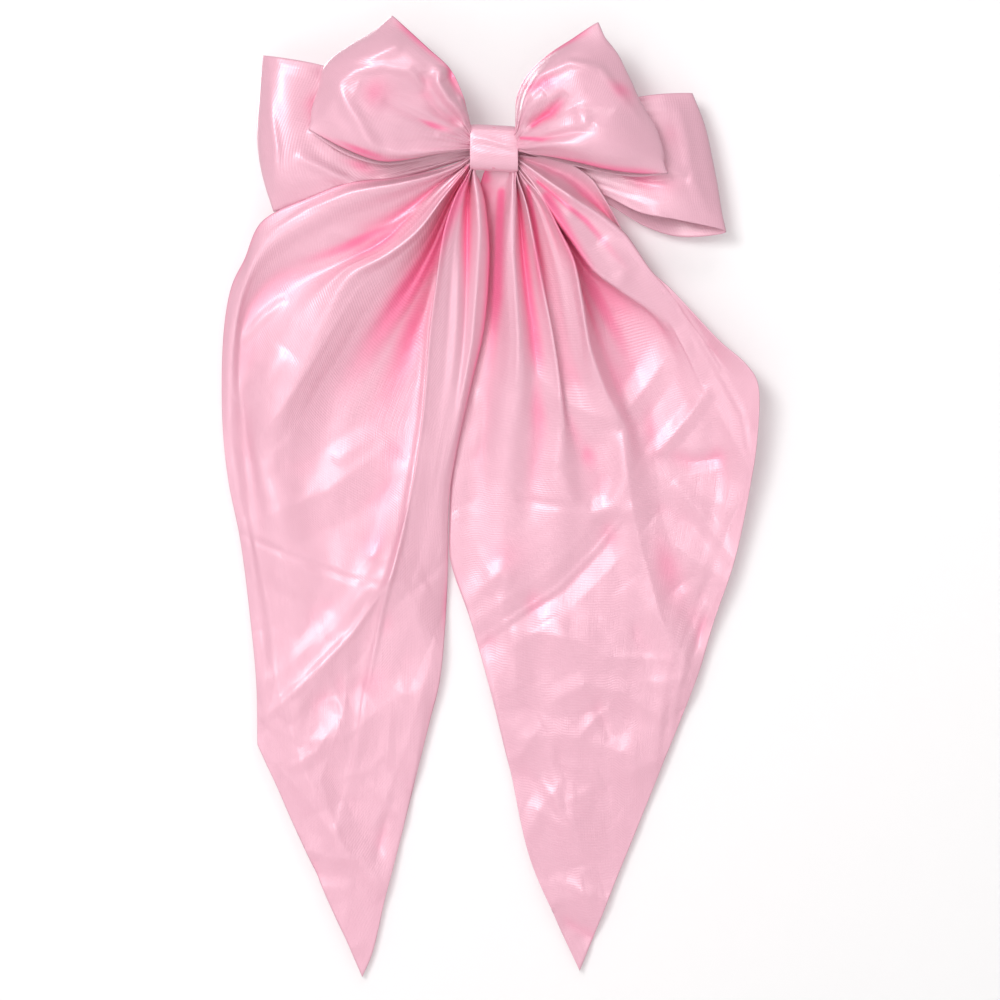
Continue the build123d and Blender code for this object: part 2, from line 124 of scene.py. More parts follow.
# %% weave group: fine twill lines from the cloth's own UV map, in metres
weave, weave_in, weave_out = new_group(
    "satin weave",
    [("Lines per Metre", "NodeSocketFloat", 900.0), ("Slant", "NodeSocketFloat", 0.35),
     ("Patchiness", "NodeSocketFloat", 0.6)],
    [("Lines", "NodeSocketFloat"), ("Slubs", "NodeSocketFloat")],
)  # fmt: skip
uv = node(weave, "ShaderNodeUVMap", uv_map="cloth")
split = node(weave, "ShaderNodeSeparateXYZ")
slant = node(weave, "ShaderNodeMath", operation="MULTIPLY")
along = node(weave, "ShaderNodeMath", operation="ADD")
count = node(weave, "ShaderNodeMath", operation="MULTIPLY")
turns = node(weave, "ShaderNodeMath", operation="MULTIPLY")
turns.inputs[1].default_value = 2 * pi
wave = node(weave, "ShaderNodeMath", operation="SINE")
half = node(weave, "ShaderNodeMath", operation="MULTIPLY_ADD")
half.inputs[1].default_value = half.inputs[2].default_value = 0.5
patch = node(weave, "ShaderNodeTexNoise", Scale=38.0, Detail=3.0, Roughness=0.6)
mask = node(weave, "ShaderNodeMath", operation="MULTIPLY")
blend = node(weave, "ShaderNodeMath", operation="MULTIPLY")
slub_map = node(weave, "ShaderNodeMapping")
slub_map.inputs["Scale"].default_value = (2400.0, 60.0, 1.0)
slub = node(weave, "ShaderNodeTexNoise", Scale=1.0, Detail=2.0, Roughness=0.5)
for a, b in (
    (uv.outputs[0], split.inputs[0]),
    (split.outputs["X"], slant.inputs[0]),
    (weave_in.outputs["Slant"], slant.inputs[1]),
    (split.outputs["Y"], along.inputs[0]),
    (slant.outputs[0], along.inputs[1]),
    (along.outputs[0], count.inputs[0]),
    (weave_in.outputs["Lines per Metre"], count.inputs[1]),
    (count.outputs[0], turns.inputs[0]),
    (turns.outputs[0], wave.inputs[0]),
    (wave.outputs[0], half.inputs[0]),
    (uv.outputs[0], patch.inputs["Vector"]),
    (patch.outputs["Fac"], mask.inputs[0]),
    (weave_in.outputs["Patchiness"], mask.inputs[1]),
    (half.outputs[0], blend.inputs[0]),
    (mask.outputs[0], blend.inputs[1]),
    (blend.outputs[0], weave_out.inputs["Lines"]),
    (uv.outputs[0], slub_map.inputs["Vector"]),
    (slub_map.outputs[0], slub.inputs["Vector"]),
    (slub.outputs["Fac"], weave_out.inputs["Slubs"]),
):
    weave.links.new(a, b)

# %% wear group: faint cloudy scuffs for metal, thread and glue
wear, wear_in, wear_out = new_group(
    "soft wear",
    [("Size", "NodeSocketFloat", 300.0), ("Strength", "NodeSocketFloat", 0.5)],
    [("Mask", "NodeSocketFloat"), ("Scratches", "NodeSocketFloat")],
)
place = node(wear, "ShaderNodeTexCoord")
cloud = node(wear, "ShaderNodeTexNoise", Detail=4.0, Roughness=0.65)
cloud_cut = ramp(wear, [(0.35, 0.0), (0.75, 1.0)])
cloud_out = node(wear, "ShaderNodeMath", operation="MULTIPLY")
stretch = node(wear, "ShaderNodeMapping")
stretch.inputs["Scale"].default_value = (120.0, 900.0, 2600.0)
lines = node(wear, "ShaderNodeTexNoise", Scale=1.0, Detail=2.0)
for a, b in (
    (place.outputs["Object"], cloud.inputs["Vector"]),
    (wear_in.outputs["Size"], cloud.inputs["Scale"]),
    (cloud.outputs["Fac"], cloud_cut.inputs[0]),
    (cloud_cut.outputs["Color"], cloud_out.inputs[0]),
    (wear_in.outputs["Strength"], cloud_out.inputs[1]),
    (cloud_out.outputs[0], wear_out.inputs["Mask"]),
    (place.outputs["Object"], stretch.inputs["Vector"]),
    (stretch.outputs[0], lines.inputs["Vector"]),
    (lines.outputs["Fac"], wear_out.inputs["Scratches"]),
):
    wear.links.new(a, b)


# %% [markdown]
# ## The satin
# Satin floats long shiny threads over the weave, so it gives a broad white sheen on crests and a
# strong pink in the valleys, where light bounces from pink to pink. That pink is painted shade: the
# mesh stores how closed each fold is in an attribute, and the base colour turns to a painted deeper
# pink where the folds close.

# %% satin material
SATIN_LIT = (0.82, 0.445, 0.55)
# painted shade: the deeper pink painted into closed folds and valleys, for the shade and the pink bounce
# light there
SATIN_PAINTED_SHADE = (0.92, 0.18, 0.36)


def satin_material(name, lit, deep):
    material = bpy.data.materials.new(name)
    material.use_nodes = True
    tree = material.node_tree
    shader = tree.nodes["Principled BSDF"]
    shader.inputs["IOR"].default_value = 1.5
    shader.inputs["Metallic"].default_value = 0.15
    shader.inputs["Specular IOR Level"].default_value = 1.0
    shader.inputs["Anisotropic"].default_value = 0.6
    shader.inputs["Coat Roughness"].default_value = 0.16
    shader.inputs["Coat IOR"].default_value = 1.5
    shader.inputs["Sheen Weight"].default_value = 0.05
    shader.inputs["Sheen Roughness"].default_value = 0.4
    # the fold attribute mixes the painted shade, a deeper pink, into the base colour
    fold = node(tree, "ShaderNodeAttribute", attribute_name="fold")
    fibre = node(tree, "ShaderNodeGroup", node_tree=weave)
    shade = ramp(tree, [(0.0, lit), (1.0, deep)], "EASE")
    tint = node(tree, "ShaderNodeMix", data_type="RGBA", blend_type="MULTIPLY")
    tint.inputs[7].default_value = (0.93, 0.84, 0.87, 1)
    rough = node(tree, "ShaderNodeMapRange", To_Min=0.26, To_Max=0.50)
    coat = node(tree, "ShaderNodeMapRange", To_Min=0.36, To_Max=0.14)
    thread_way = node(tree, "ShaderNodeTangent", direction_type="UV_MAP", uv_map="cloth")
    tree.links.new(thread_way.outputs[0], shader.inputs["Tangent"])
    bump = node(tree, "ShaderNodeBump", Strength=0.9, Distance=0.00012)
    height = node(tree, "ShaderNodeMath", operation="ADD")
    for a, b in (
        (fold.outputs["Fac"], shade.inputs[0]),
        (shade.outputs["Color"], tint.inputs[6]),
        (fibre.outputs["Lines"], tint.inputs[0]),
        (tint.outputs[2], shader.inputs["Base Color"]),
        (fibre.outputs["Slubs"], rough.inputs[0]),
        (rough.outputs[0], shader.inputs["Roughness"]),
        (fibre.outputs["Lines"], coat.inputs[0]),
        (coat.outputs[0], shader.inputs["Coat Weight"]),
        (fibre.outputs["Lines"], height.inputs[0]),
        (fibre.outputs["Slubs"], height.inputs[1]),
        (height.outputs[0], bump.inputs["Height"]),
        (bump.outputs[0], shader.inputs["Normal"]),
    ):
        tree.links.new(a, b)
    return material


satin = satin_material("pink satin", SATIN_LIT, SATIN_PAINTED_SHADE)


# %% [markdown]
# ## Shaping cloth
# A strip of cloth is drawn as a few long guide lines that follow its folds: a ridge, the valley
# beside it, the next ridge. A smooth surface is laid through them. Cloth simulation would fold the
# strip by itself, but not where this bow is folded, so the folds are drawn one by one and only the fine
# creasing is left to noise.

# %% smooth lines and lofted sheets
def between(t, start, end, a, b):
    """The point a at t = start, b at t = end, and in proportion between and beyond them."""
    return (end - t) / (end - start) * a + (t - start) / (end - start) * b


def smooth_line(points, count):
    """count evenly spaced points on a smooth line through the given ones (rows of x, y, z in mm)."""
    p = np.asarray(points, float)
    ends = np.vstack([2 * p[0] - p[1], p, 2 * p[-1] - p[-2]])
    steps = np.sqrt(np.linalg.norm(np.diff(ends, axis=0), axis=1)) + 1e-6
    knots = np.concatenate([[0], np.cumsum(steps)])
    out = []
    for i in range(1, len(ends) - 2):
        k0, k1, k2, k3 = knots[i - 1 : i + 3]
        t = np.linspace(k1, k2, 24, endpoint=False)[:, None]
        a1 = between(t, k0, k1, ends[i - 1], ends[i])
        a2 = between(t, k1, k2, ends[i], ends[i + 1])
        a3 = between(t, k2, k3, ends[i + 1], ends[i + 2])
        b1 = between(t, k0, k2, a1, a2)
        b2 = between(t, k1, k3, a2, a3)
        out.append(between(t, k1, k2, b1, b2))
    out = np.vstack([*out, p[-1:]])
    run = np.concatenate([[0], np.cumsum(np.linalg.norm(np.diff(out, axis=0), axis=1))])
    even = np.linspace(0, run[-1], count)
    return np.stack([np.interp(even, run, out[:, k]) for k in range(3)], axis=1)


def loft(guides, across, along):
    """A grid of points, across by along, on a smooth sheet through the guide lines."""
    lines = np.stack([smooth_line(g, along) for g in guides])
    gaps = np.linalg.norm(np.diff(lines, axis=0), axis=2)
    knots = np.concatenate([[0], np.cumsum(np.sqrt(np.mean(gaps**2, axis=1)) + 0.5)])
    places = np.linspace(0, knots[-1], across)
    step = np.diff(knots)[:, None, None]
    slope = np.diff(lines, axis=0) / step
    tangent = np.empty_like(lines)
    tangent[0], tangent[-1] = slope[0], slope[-1]
    tangent[1:-1] = (slope[:-1] * step[1:] + slope[1:] * step[:-1]) / (step[1:] + step[:-1])
    cell = np.clip(np.searchsorted(knots, places, side="right") - 1, 0, len(knots) - 2)
    width = (knots[cell + 1] - knots[cell])[:, None, None]
    t = ((places - knots[cell])[:, None, None]) / width
    return (
        (2 * t**3 - 3 * t**2 + 1) * lines[cell]
        + (t**3 - 2 * t**2 + t) * width * tangent[cell]
        + (-2 * t**3 + 3 * t**2) * lines[cell + 1]
        + (t**3 - t**2) * width * tangent[cell + 1]
    )


def beside(points, line):
    """Signed distance in mm from each point to a line of points (x, z), and the place along it, 0 to 1."""
    p = points[..., (0, 2)]
    line = np.asarray(line, float)
    best, side, where = np.full(p.shape[:-1], 1e9), np.zeros(p.shape[:-1]), np.zeros(p.shape[:-1])
    lengths = np.linalg.norm(np.diff(line, axis=0), axis=1)
    total, walked = lengths.sum(), 0.0
    for a, b, length in zip(line[:-1], line[1:], lengths):
        d = b - a
        t = np.clip(((p - a) @ d) / length**2, 0, 1)
        off = p - (a + t[..., None] * d)
        dist = np.linalg.norm(off, axis=-1)
        cross = d[0] * off[..., 1] - d[1] * off[..., 0]
        nearer = dist < best
        best = np.where(nearer, dist, best)
        side = np.where(nearer, np.sign(cross), side)
        where = np.where(nearer, (walked + t * length) / total, where)
        walked += length
    return best * side, where


def crease(grid, line, height, width, kind="ridge", mask=1.0):
    """Lifts the cloth towards the front along a drawn line: ridge, kink (two flat sides) or step."""
    d, where = beside(grid, line)
    fade = np.clip(4 * where * (1 - where), 0, 1) ** 0.6
    if kind == "ridge":
        shape = np.exp(-((d / width) ** 2))
    elif kind == "kink":
        shape = np.clip(1 - np.abs(d) / width, 0, 1) ** 1.15
    else:
        shape = 0.5 * (np.tanh(d / width) + 1) * np.exp(-((d / (6 * width)) ** 2))
    grid[..., 1] -= height * fade * shape * mask


def press(grid, creases, mask=1.0):
    """Presses creases in one after the other: (line, height, width) and a kind where it isn't a ridge."""
    for line, height, width, *kind in creases:
        crease(grid, line, height, width, *kind, mask=mask)


def rumple(grid, seed, size, depth, stretch=(1.0, 1.0), mask=1.0):
    """Soft seeded noise towards the front. size is in mm, stretch widens it along X and Z."""
    shift = Vector((seed * 13.7, seed * 5.1, seed * 9.3))
    flat = grid.reshape(-1, 3)
    value = np.array(
        [noise.noise(Vector((x / size / stretch[0], 0, z / size / stretch[1])) + shift) for x, _, z in flat]
    )
    grid[..., 1] -= depth * value.reshape(grid.shape[:-1]) * mask


# %% from a grid of points to a piece of cloth
# FOLD_BLUR sets the level that the painted shade of closed folds is measured from; a painted-shade valley
# line that starts past GATHERS_END fades in from its start.
FOLD_BLUR = 160  # steps; the level that a fold is deeper than
GATHERS_END = 32.0  # mm from the middle, past which a tinted valley fades in


def smooth_grid(values, steps):
    """Blurs a grid of values a few times, keeping its border."""
    out = values.copy()
    for _ in range(steps):
        padded = np.pad(out, [(1, 1), (1, 1)] + [(0, 0)] * (out.ndim - 2), mode="edge")
        out = (padded[:-2, 1:-1] + padded[2:, 1:-1] + padded[1:-1, :-2] + padded[1:-1, 2:] + 4 * out) / 8
    return out


def cloth_piece(name, grid, material, thickness=0.28, deep_at=1.7, deep=(), deep_before=99.0):
    """Makes the mesh, its UV map in metres and its fold attribute, and gives it a thickness.

    deep lists (line, width, strength) of the broad valleys, which the closed folds don't find. The fold
    attribute is a mask of painted shade, a deeper pink for the light that the folds of satin pass to each
    other; the closed folds get it, and so do these valleys, where the cloth lies before deep_before.
    """
    rows, columns = grid.shape[:2]
    index = np.arange(rows * columns).reshape(rows, columns)
    faces = np.stack([index[:-1, :-1], index[1:, :-1], index[1:, 1:], index[:-1, 1:]], -1).reshape(-1, 4)
    mesh = bpy.data.meshes.new(name)
    mesh.from_pydata((grid.reshape(-1, 3) * MM).tolist(), [], faces.tolist())
    steps_u = np.linalg.norm(np.diff(grid, axis=0), axis=2)
    steps_v = np.linalg.norm(np.diff(grid, axis=1), axis=2)
    u = np.concatenate([np.zeros((1, columns)), np.cumsum(steps_u, 0)])
    v = np.concatenate([np.zeros((rows, 1)), np.cumsum(steps_v, 1)], 1)
    cloth_uv = np.stack([u, v], -1).reshape(-1, 2) * MM
    layer = mesh.uv_layers.new(name="cloth")
    loops = np.empty(len(mesh.loops), dtype=np.int32)
    mesh.loops.foreach_get("vertex_index", loops)
    layer.data.foreach_set("uv", cloth_uv[loops].ravel())
    # The fold mask of painted shade: it grows where the cloth lies deeper than its blurred level, in the
    # closed folds.
    normal_y = np.gradient(grid[..., 2], axis=0) * np.gradient(grid[..., 0], axis=1)
    normal_y -= np.gradient(grid[..., 0], axis=0) * np.gradient(grid[..., 2], axis=1)
    faces_front = smooth_grid(np.sign(normal_y), 20)
    closed = (grid[..., 1] - smooth_grid(grid[..., 1], FOLD_BLUR)) * -faces_front
    fold = smooth_grid(np.clip((closed - 0.35) / deep_at, 0, 1), 12)
    # painted shade along the listed valley lines too, only where the cloth lies before deep_before
    for line, width, strength in deep:
        d, where = beside(grid, line)
        fade = np.clip(1.7 * (1 - where), 0, 1) ** 1.5
        if np.hypot(*line[0]) > GATHERS_END:  # it starts away from the gathers
            fade = fade * np.clip(3 * where, 0, 1)
        shade = strength * fade * np.exp(-((d / (width * (0.6 + 0.8 * where))) ** 2))
        fold = np.maximum(fold, shade * (grid[..., 1] < deep_before))
    attribute = mesh.attributes.new("fold", "FLOAT", "POINT")
    attribute.data.foreach_set("value", fold.ravel().astype(np.float32))
    mesh.polygons.foreach_set("use_smooth", np.ones(len(mesh.polygons), dtype=bool))
    mesh.materials.append(material)
    piece = bpy.data.objects.new(name, mesh)
    bpy.context.collection.objects.link(piece)
    wall = piece.modifiers.new("cloth thickness", "SOLIDIFY")
    wall.thickness = thickness * MM
    wall.offset = 0.0
    cross = np.cross(np.diff(grid, axis=0)[:, :-1], np.diff(grid, axis=1)[:-1])
    area = np.linalg.norm(cross, axis=2).sum()
    print(f"{name}: {len(mesh.polygons)} faces, area {area:.0f} mm2, "
          f"mean width {u[-1].mean():.0f} mm, mean length {v[:, -1].mean():.0f} mm")  # fmt: skip
    return piece


def front(rows):
    """Guide points given as (x, z, height in front of the wall) in mm."""
    return [(x, WALL_Y - h, z) for x, z, h in rows]


# %% pleats at the waist
WAIST_REACH = 9.5  # mm from the middle, where the gathers have opened out
RING_CLEAR_Y = 0.75  # mm between the pleats' crests and the thread ring
RING_CLEAR_Z = 0.9


def distance_along(grid):
    """Distance in mm of each point from the start of its line, measured along the strip."""
    steps = np.linalg.norm(np.diff(grid, axis=1), axis=2)
    return np.concatenate([np.zeros((len(grid), 1)), np.cumsum(steps, axis=1)], axis=1)


def fine_pleats(grid, seed, count, depth, reach, mask=1.0):
    """Narrow folds that run along the strip from the gathers, and die away at reach mm."""
    away = distance_along(grid)
    rows = np.linspace(0, count, grid.shape[0])
    value = np.array(
        [[noise.noise(Vector((row, a / 70, seed * 7.7))) for a in line] for row, line in zip(rows, away)]
    )
    grow = np.clip(away / 12, 0, 1)
    grid[..., 1] -= depth * value * grow * np.exp(-((away / reach) ** 2)) * mask


def crumple(grid, seed, count, area, length, height, width):
    """Sharp creases of packing, at seeded places in an area (x0, z0, x1, z1), in mm."""
    dice = np.random.default_rng(seed)
    for _ in range(count):
        x, z = dice.uniform(area[0], area[2]), dice.uniform(area[1], area[3])
        angle, long = dice.uniform(0, pi), dice.uniform(0.5, 1.0) * length
        bend = dice.uniform(-0.35, 0.35)
        line = [
            (x + k * long * cos(angle + bend * k), z + k * long * sin(angle + bend * k))
            for k in (-0.5, 0.0, 0.5)
        ]
        rise = dice.uniform(0.4, 1.0) * height * (1 if dice.uniform() < 0.7 else -1)
        crease(grid, line, rise, width * dice.uniform(0.6, 1.4), "kink")


def gather(grid, thread, pleats, layers=1):
    """Pleats a strip into its waist, inside the thread ring that the CAD model gives."""
    low, high = (np.array(corner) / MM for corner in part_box(thread))
    centre_y, half_y, half_z = (low[1] + high[1]) / 2, (high[1] - low[1]) / 2, (high[2] - low[2]) / 2
    place = np.linspace(0, 1, grid.shape[0])[:, None]
    depth = (half_y - RING_CLEAR_Y) / layers
    second = (np.linspace(0, 1, grid.shape[1]) > 0.5)[None, :] * (layers - 1)
    layer_y = centre_y + (second - 0.5 * (layers - 1)) * (half_y - 0.3)
    pleat_y = layer_y + depth * np.cos(2 * pi * pleats * place)
    pleat_z = (half_z - RING_CLEAR_Z) * (1 - 2 * place) * np.ones(grid.shape[:2])
    away = distance_along(grid)
    if layers == 2:
        away = np.minimum(away, away[:, -1:] - away)
    t = np.clip(away / WAIST_REACH, 0, 1)
    near = 1 - t * t * (3 - 2 * t)
    grid[..., 1] = (1 - near) * grid[..., 1] + near * pleat_y
    grid[..., 2] = (1 - near) * grid[..., 2] + near * pleat_z


def strip_through(left, right):
    """One strip that runs from the left grid's far end, through the waist, to the right grid's far end."""
    return np.concatenate([left[:, ::-1], right[:, 1:]], axis=1)


# %% [markdown]
# ## The tails
# Both tails are one long strip, gathered under the band. Each guide line starts at the gathers and
# ends at the slanted hem. The strong folds near the band open out and die away lower down, where the
# cloth lies almost flat and keeps the sharp creases of its packing.

# %% left tail
TAIL_ACROSS, TAIL_ALONG = 180, 270
LEFT_TAIL = [
    # selvedge along the outer, upper edge
    [(0, -1.5, 16.8), (-8, -2.6, 16.8), (-14, -5.6, 17.2), (-24, -9, 17.5), (-39, -12, 17.5),
     (-59.7, -14.3, 16),
     (-76.3, -20.3, 14), (-96.2, -30.3, 11), (-103.5, -46, 8), (-108.6, -56.4, 6.5), (-112, -75, 4),
     (-112.7, -112, 2.5), (-110.3, -137, 2.5), (-105.3, -162, 2), (-101.1, -195, 1.5), (-98.6, -222, 1.5),
     (-98.2, -247, 1)],
    # crest that rolls over the upper edge
    [(0, -2.2, 17.6), (-8, -3.4, 17.8), (-14, -6.9, 18.6), (-24, -11, 20), (-39, -15, 20.6),
     (-60, -19.5, 19),
     (-77, -27, 16.5), (-95, -39, 13.5), (-104, -56, 10), (-108.5, -75, 6.5), (-110, -112, 4),
     (-107.5, -137, 3.5), (-102.5, -162, 3), (-98, -195, 2.5), (-96, -224, 2.2), (-95.5, -253, 1)],
    # valley under it
    [(0, -3, 16), (-8, -4.2, 15.6), (-14, -8.6, 14.6), (-22.4, -14.5, 13), (-34, -24.5, 10.5),
     (-47.3, -36, 8),
     (-68, -46.5, 8.5), (-88, -54, 6), (-101, -68, 4.4),
     (-105, -90, 3.4), (-103, -125, 2.6), (-99, -160, 2.3),
     (-93, -195, 2), (-90.5, -230, 2), (-90.8, -263, 1)],
    # broad bright crest
    [(0, -3.8, 17.6), (-8, -5, 18), (-13.5, -11, 19), (-21, -20, 19.5), (-32, -34, 18.5), (-45, -44, 17),
     (-60, -52, 15.5), (-74, -72, 13), (-88, -98, 10), (-95, -125, 7.4), (-90, -160, 5), (-84, -195, 4),
     (-82, -235, 3), (-84, -278.6, 1)],
    # deep valley
    [(0, -4.6, 15.8), (-8, -5.8, 15), (-12.5, -13, 13), (-17.5, -23, 10), (-24.5, -40, 6), (-36, -62.6, 3),
     (-50, -83, 1.6), (-64, -104, 1.5), (-71, -130, 2.2), (-69, -160, 2.8), (-64, -195, 2.5),
     (-66, -240, 2),
     (-76.4, -295, 1)],
    # return under the column
    [(0, -5.2, 15.8), (-8, -6.4, 15.2), (-11, -13.5, 13), (-13.2, -24, 10), (-16.5, -40, 6),
     (-21, -58, 3.2),
     (-24.2, -82, 2.4), (-26.5, -112, 2.6), (-33, -140, 3.2), (-44, -170, 3.6), (-52, -200, 3),
     (-58, -245, 2),
     (-73, -302, 1)],
    # sharp edge of the column
    [(0, -5.6, 17.6), (-8, -6.8, 18), (-12, -13, 19), (-16, -20.5, 19.8), (-20.3, -33.6, 18.5),
     (-23.8, -54.3, 15),
     (-26.7, -75, 12.5), (-29.8, -112, 9.5), (-33.5, -137, 7.6), (-39, -163, 6), (-45.5, -188, 4.6),
     (-51, -215, 3.6), (-58, -255, 2.5), (-71.5, -306, 1)],
    # middle of the column
    [(0, -6.2, 17.4), (-8, -7.4, 17.4), (-10.6, -13.4, 18.2), (-13, -22, 18.8), (-15.6, -38, 17.4),
     (-17, -56, 14.6),
     (-18.5, -80, 12), (-22, -112, 9.2), (-26.5, -140, 7.4), (-31, -170, 5.6), (-37, -205, 4),
     (-47, -260, 2.5),
     (-65.5, -319.5, 1)],
    # shallow valley
    [(0, -6.8, 15.8), (-8, -7.8, 15.4), (-9.6, -13.6, 14), (-10.4, -21, 13.4), (-11, -36, 12.6),
     (-11.6, -56, 12),
     (-13, -80, 10.6), (-17.5, -112, 8.6), (-22.8, -140, 6.9), (-26, -170, 5.2), (-31.5, -210, 3.5),
     (-41.5, -270, 2), (-61, -329, 1)],
    # narrow ridge
    [(0, -7.4, 17.4), (-8, -8.2, 17.6), (-8.4, -13, 18.8), (-7.4, -20, 19.4), (-6.4, -34, 18.2),
     (-7, -56, 14),
     (-8.8, -80, 11), (-14.5, -112, 8.2), (-20.5, -140, 6.2), (-22.5, -175, 4.3), (-27, -215, 3),
     (-37, -275, 2),
     (-58, -336, 1)],
    # inner selvedge
    [(0, -8, 16.6), (-7.6, -8.6, 16.4), (-6, -13.6, 16.4), (-4, -21, 16), (-2, -37.5, 14), (-2, -50, 11.6),
     (-4.2, -75, 8.5), (-10, -99.9, 6.3), (-15.5, -125, 4.8), (-18.7, -145.5, 4), (-19.5, -183, 2.5),
     (-22.4, -220, 2), (-26.5, -236.7, 1.5), (-34.8, -270, 1.5), (-41, -295, 1.5), (-45.2, -311, 1.2),
     (-50.6, -334, 1), (-54.7, -343.6, 1)],
]  # fmt: skip
left_grid = loft([front(g) for g in LEFT_TAIL], TAIL_ACROSS, TAIL_ALONG)
lower = np.clip((-left_grid[..., 2] - 20) / 120, 0, 1)
press(left_grid, [
    ([(-16, -20), (-20, -34), (-24, -54), (-27, -75), (-30, -112), (-34, -137), (-39, -163),
      (-46, -190), (-53, -225)], 1.3, 1.2),
    ([(-9, -14), (-7, -20), (-6, -34), (-7, -56), (-9, -80), (-15, -112)], 0.9, 1.1),
    ([(-14, -7), (-24, -11), (-39, -14), (-60, -18), (-77, -25), (-94, -36)], 0.9, 1.2),
    ([(-13, -11), (-21, -20), (-32, -33), (-44, -43), (-56, -51)], 0.9, 1.4),
    ([(-12, -8), (-22, -16), (-31, -24), (-42, -31), (-52, -34)], 0.8, 1.1),
    ([(-106, -158), (-84, -169), (-60, -178), (-36, -181), (-28, -178)], 1.6, 16, "kink"),
    ([(-107, -158), (-68, -141), (-42, -121)], 1.4, 15, "kink"),
    ([(-33, -128), (-37, -158), (-43, -178), (-60, -203), (-76, -220), (-96, -238)], 2.2, 9, "kink"),
    ([(-37, -145), (-42, -163), (-51, -180), (-69, -200), (-99, -227)], 1.2, 4),
    ([(-60, -205), (-62, -232), (-72, -262), (-62, -292)], 1.6, 14, "kink"),
    ([(-99, -246), (-84, -262), (-70, -280), (-58, -296), (-45, -309)], 1.5, 13, "kink"),
    ([(-96, -238), (-78, -246), (-60, -243), (-42, -228), (-22, -221)], 1.3, 14, "kink"),
    ([(-82, -290), (-68, -294), (-55, -294), (-44, -310)], 1.2, 8, "kink"),
    ([(-21, -186), (-27, -215), (-36, -246), (-50, -283)], 1.2, 11, "kink"),
    ([(-105, -80), (-96, -70), (-86, -62)], 0.9, 2.0),
    ([(-52, -52), (-64, -70), (-76, -90), (-88, -108), (-104, -126)], 1.5, 8, "kink"),
    ([(-108, -158), (-84, -169), (-60, -178), (-38, -182)], -0.7, 1.6),
    ([(-36, -150), (-42, -176), (-58, -200), (-80, -222), (-98, -238)], 0.7, 1.5),
    ([(-64, -236), (-74, -250), (-86, -258)], 1.0, 5, "kink"),
    ([(-108, -103), (-96, -96), (-86, -84)], 1.2, 5),
    ([(-112, -118), (-92, -126), (-76, -142)], -1.2, 8),
    ([(-70, -34), (-52, -38), (-36, -30)], 0.7, 2.5),
])  # fmt: skip
rumple(left_grid, 3, 34, 0.8, (0.8, 1.5), lower)
rumple(left_grid, 5, 13, 0.3, (0.8, 1.4), lower)
rumple(left_grid, 7, 5, 0.12, (1, 1.6), lower)
fine_pleats(left_grid, 2, 26, 2.2, 90)
crumple(left_grid, 101, 12, (-100, -340, -20, -160), 80, 1.6, 12)
crumple(left_grid, 103, 26, (-100, -340, -20, -120), 34, 0.6, 5)
gather(left_grid, "tail_gather_thread", 5)
# painted shade along the left tail's broad valleys: (line, width, strength)
LEFT_VALLEYS = [
    ([(-13, -15), (-21, -32), (-28, -47), (-39, -63), (-51, -82), (-66, -106), (-76, -124)], 6.0, 1.0),
    ([(-22, -38), (-30, -62), (-38, -88), (-50, -116), (-62, -140)], 7.0, 0.75),
    ([(-30, -26), (-50, -35), (-62, -41), (-76, -46), (-98, -52)], 2.6, 0.95),
    ([(-11, -8), (-12, -30), (-11, -52)], 1.6, 0.9),
    ([(-36, -110), (-42, -130), (-52, -150)], 8.0, 0.35),
    ([(-40, -212), (-52, -222), (-66, -238)], 7.0, 0.3),
]
left_tail = cloth_piece("left_tail", left_grid[:, ::-1], satin, deep=LEFT_VALLEYS)

